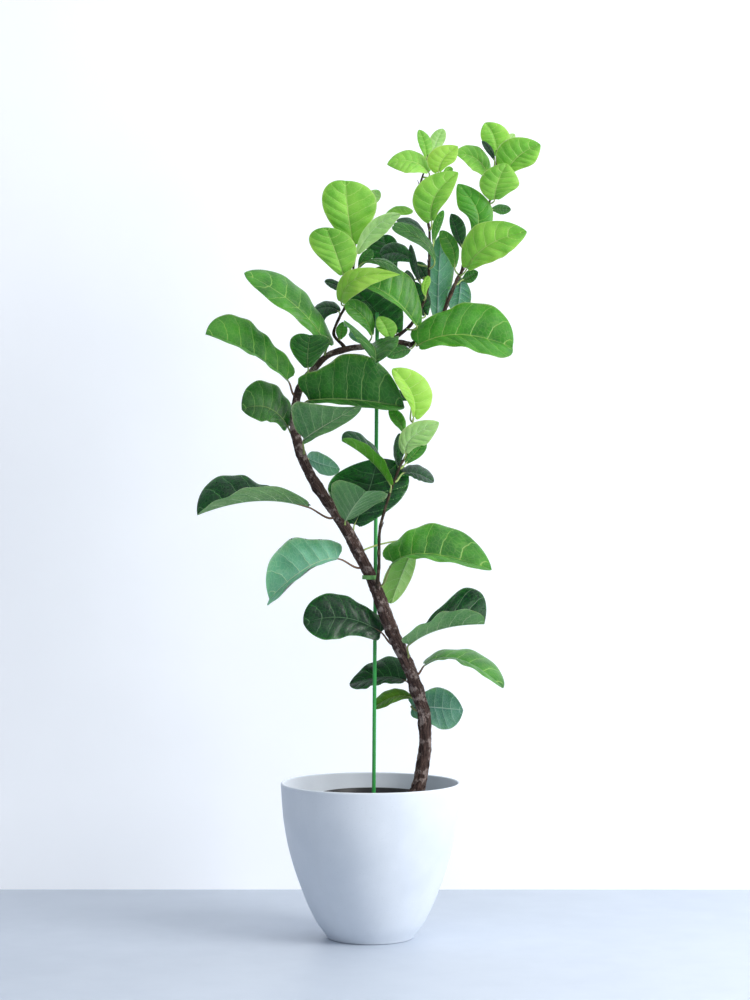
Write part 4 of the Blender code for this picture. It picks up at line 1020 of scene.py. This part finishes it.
faces.append(tuple(skirt + j for j in reversed(range(turns))))
piece = mesh_object("soil_look", points, faces, [earth])
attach(piece, "root")
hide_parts("soil")

# Crumbs: three rings of five jogged points each, clear of the trunk and the stake.
CRUMBS = 700
CRUMB_SIDES = 5
dice = random.Random(3)
points, faces = [], []
for _ in range(CRUMBS):
    r = soil_edge * math.sqrt(dice.random()) * 0.97
    a = dice.random() * FULL_TURN
    x, y = middle_x + r * math.cos(a), r * math.sin(a)
    if (x - trunk_x) ** 2 + (y - trunk_y) ** 2 < 3.2 or (x - STAKE_X) ** 2 + y**2 < 0.4:
        continue
    size = 0.06 + 0.20 * dice.random() ** 2
    spin = dice.random() * FULL_TURN
    start = len(points)
    for lift, spread in ((-1.0, 0.5), (0.0, 1.0), (1.0, 0.45)):
        for j in range(CRUMB_SIDES):
            turn = spin + FULL_TURN / CRUMB_SIDES * j
            reach = size * spread * (0.75 + 0.5 * dice.random())
            z = soil_top + 0.12 + size * 0.5 * lift
            points.append((x + reach * math.cos(turn), y + reach * math.sin(turn), z))
    faces += tube_faces(3, CRUMB_SIDES, start)
piece = mesh_object("soil_crumbs", points, faces, [crumb], smooth=False)
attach(piece, "root")

# -------- stage, light and camera


def stage_look(name, dark, light, rough, glowing_one_sided=False):
    """Matte paint. The glowing_one_sided kind is clear from behind, for views from there, and glows a little:
    painted light that brightens the wall and lights the plant from behind, though the wall is no lamp.
    """
    made, web, place = new_look(name, 0.3)
    cloud = web.noise(place.outputs["Object"], 0.9, 4.0)
    fleck = web.noise(place.outputs["Object"], 9.0, 5.0, 0.6)
    both = web.line(fleck, 0.4, web.times(cloud, 0.6))
    web.paint(web.mix(web.step(both, 0.3, 0.7), dark, light), rough)
    if glowing_one_sided:
        # Painted light: a faint glow of the wall itself, which brightens it and lights the back of the plant.
        web.shader.inputs["Emission Color"].default_value = (0.90, 0.93, 1.0, 1.0)
        web.shader.inputs["Emission Strength"].default_value = 0.22
        geometry = web.add("ShaderNodeNewGeometry")
        clear = web.add("ShaderNodeBsdfTransparent")
        mix = web.add("ShaderNodeMixShader")
        web.put(mix.inputs[0], geometry.outputs["Backfacing"])
        web.put(mix.inputs[1], web.shader.outputs[0])
        web.put(mix.inputs[2], clear.outputs[0])
        web.put(web.tree.nodes["Material Output"].inputs["Surface"], mix.outputs[0])
    return made


def plane(name, corners, look):
    mesh = bpy.data.meshes.new(name)
    mesh.from_pydata(corners, [], [(0, 1, 2, 3)])
    mesh.materials.append(look)
    item = bpy.data.objects.new(name, mesh)
    bpy.context.scene.collection.objects.link(item)
    return item


WALL_Y = 0.66
FLOOR_Z = -0.0005
plane(
    "floor",
    [(-9, -9, FLOOR_Z), (9, -9, FLOOR_Z), (9, 9, FLOOR_Z), (-9, 9, FLOOR_Z)],
    stage_look("floor_paint", (0.49, 0.55, 0.64), (0.55, 0.61, 0.70), 0.42),
)
# The wall, whose paint glows a little as painted light on the back of the plant.
plane(
    "wall",
    [(-9, WALL_Y, FLOOR_Z), (9, WALL_Y, FLOOR_Z), (9, WALL_Y, 7), (-9, WALL_Y, 7)],
    stage_look("wall_paint_glowing", (0.84, 0.86, 0.90), (0.87, 0.89, 0.925), 0.8, glowing_one_sided=True),
)

world = scene.world or bpy.data.worlds.new("world")
scene.world = world
world.use_nodes = True
sky = world.node_tree.nodes.get("Background") or world.node_tree.nodes.new("ShaderNodeBackground")
sky.inputs["Color"].default_value = (0.86, 0.92, 1.0, 1.0)
sky.inputs["Strength"].default_value = 0.36


def lamp(name, where, aim, size, power, colour):
    """A rectangular soft light at a place, aimed at another."""
    data = bpy.data.lights.new(name, "AREA")
    data.shape = "RECTANGLE"
    data.size, data.size_y = size
    data.energy = power
    data.color = colour
    item = bpy.data.objects.new(name, data)
    item.location = where
    item.rotation_euler = (Vector(aim) - Vector(where)).to_track_quat("-Z", "Y").to_euler()
    scene.collection.objects.link(item)
    return item


lamp("window", (3.4, -1.9, 2.4), (0.0, 0.1, 0.8), (2.4, 3.0), 185.0, (1.0, 0.985, 0.96))
lamp("ceiling", (0.6, -1.6, 4.2), (0.0, 0.2, 0.6), (3.5, 2.5), 40.0, (1.0, 1.0, 1.0))
lamp("front", (-0.6, -5.8, 2.2), (0.0, 0.0, 1.0), (3.0, 2.2), 16.0, (0.95, 0.98, 1.0))

camera = bpy.data.cameras.new("camera")
camera.lens = 86.4
camera.sensor_width = 36.0
view = bpy.data.objects.new("camera", camera)
view.location = (0.010, -5.4, 0.983)
view.rotation_euler = (math.pi / 2, 0.0, 0.0)
scene.collection.objects.link(view)
scene.camera = view
scene.view_settings.view_transform = "Standard"
scene.view_settings.exposure = 0.0
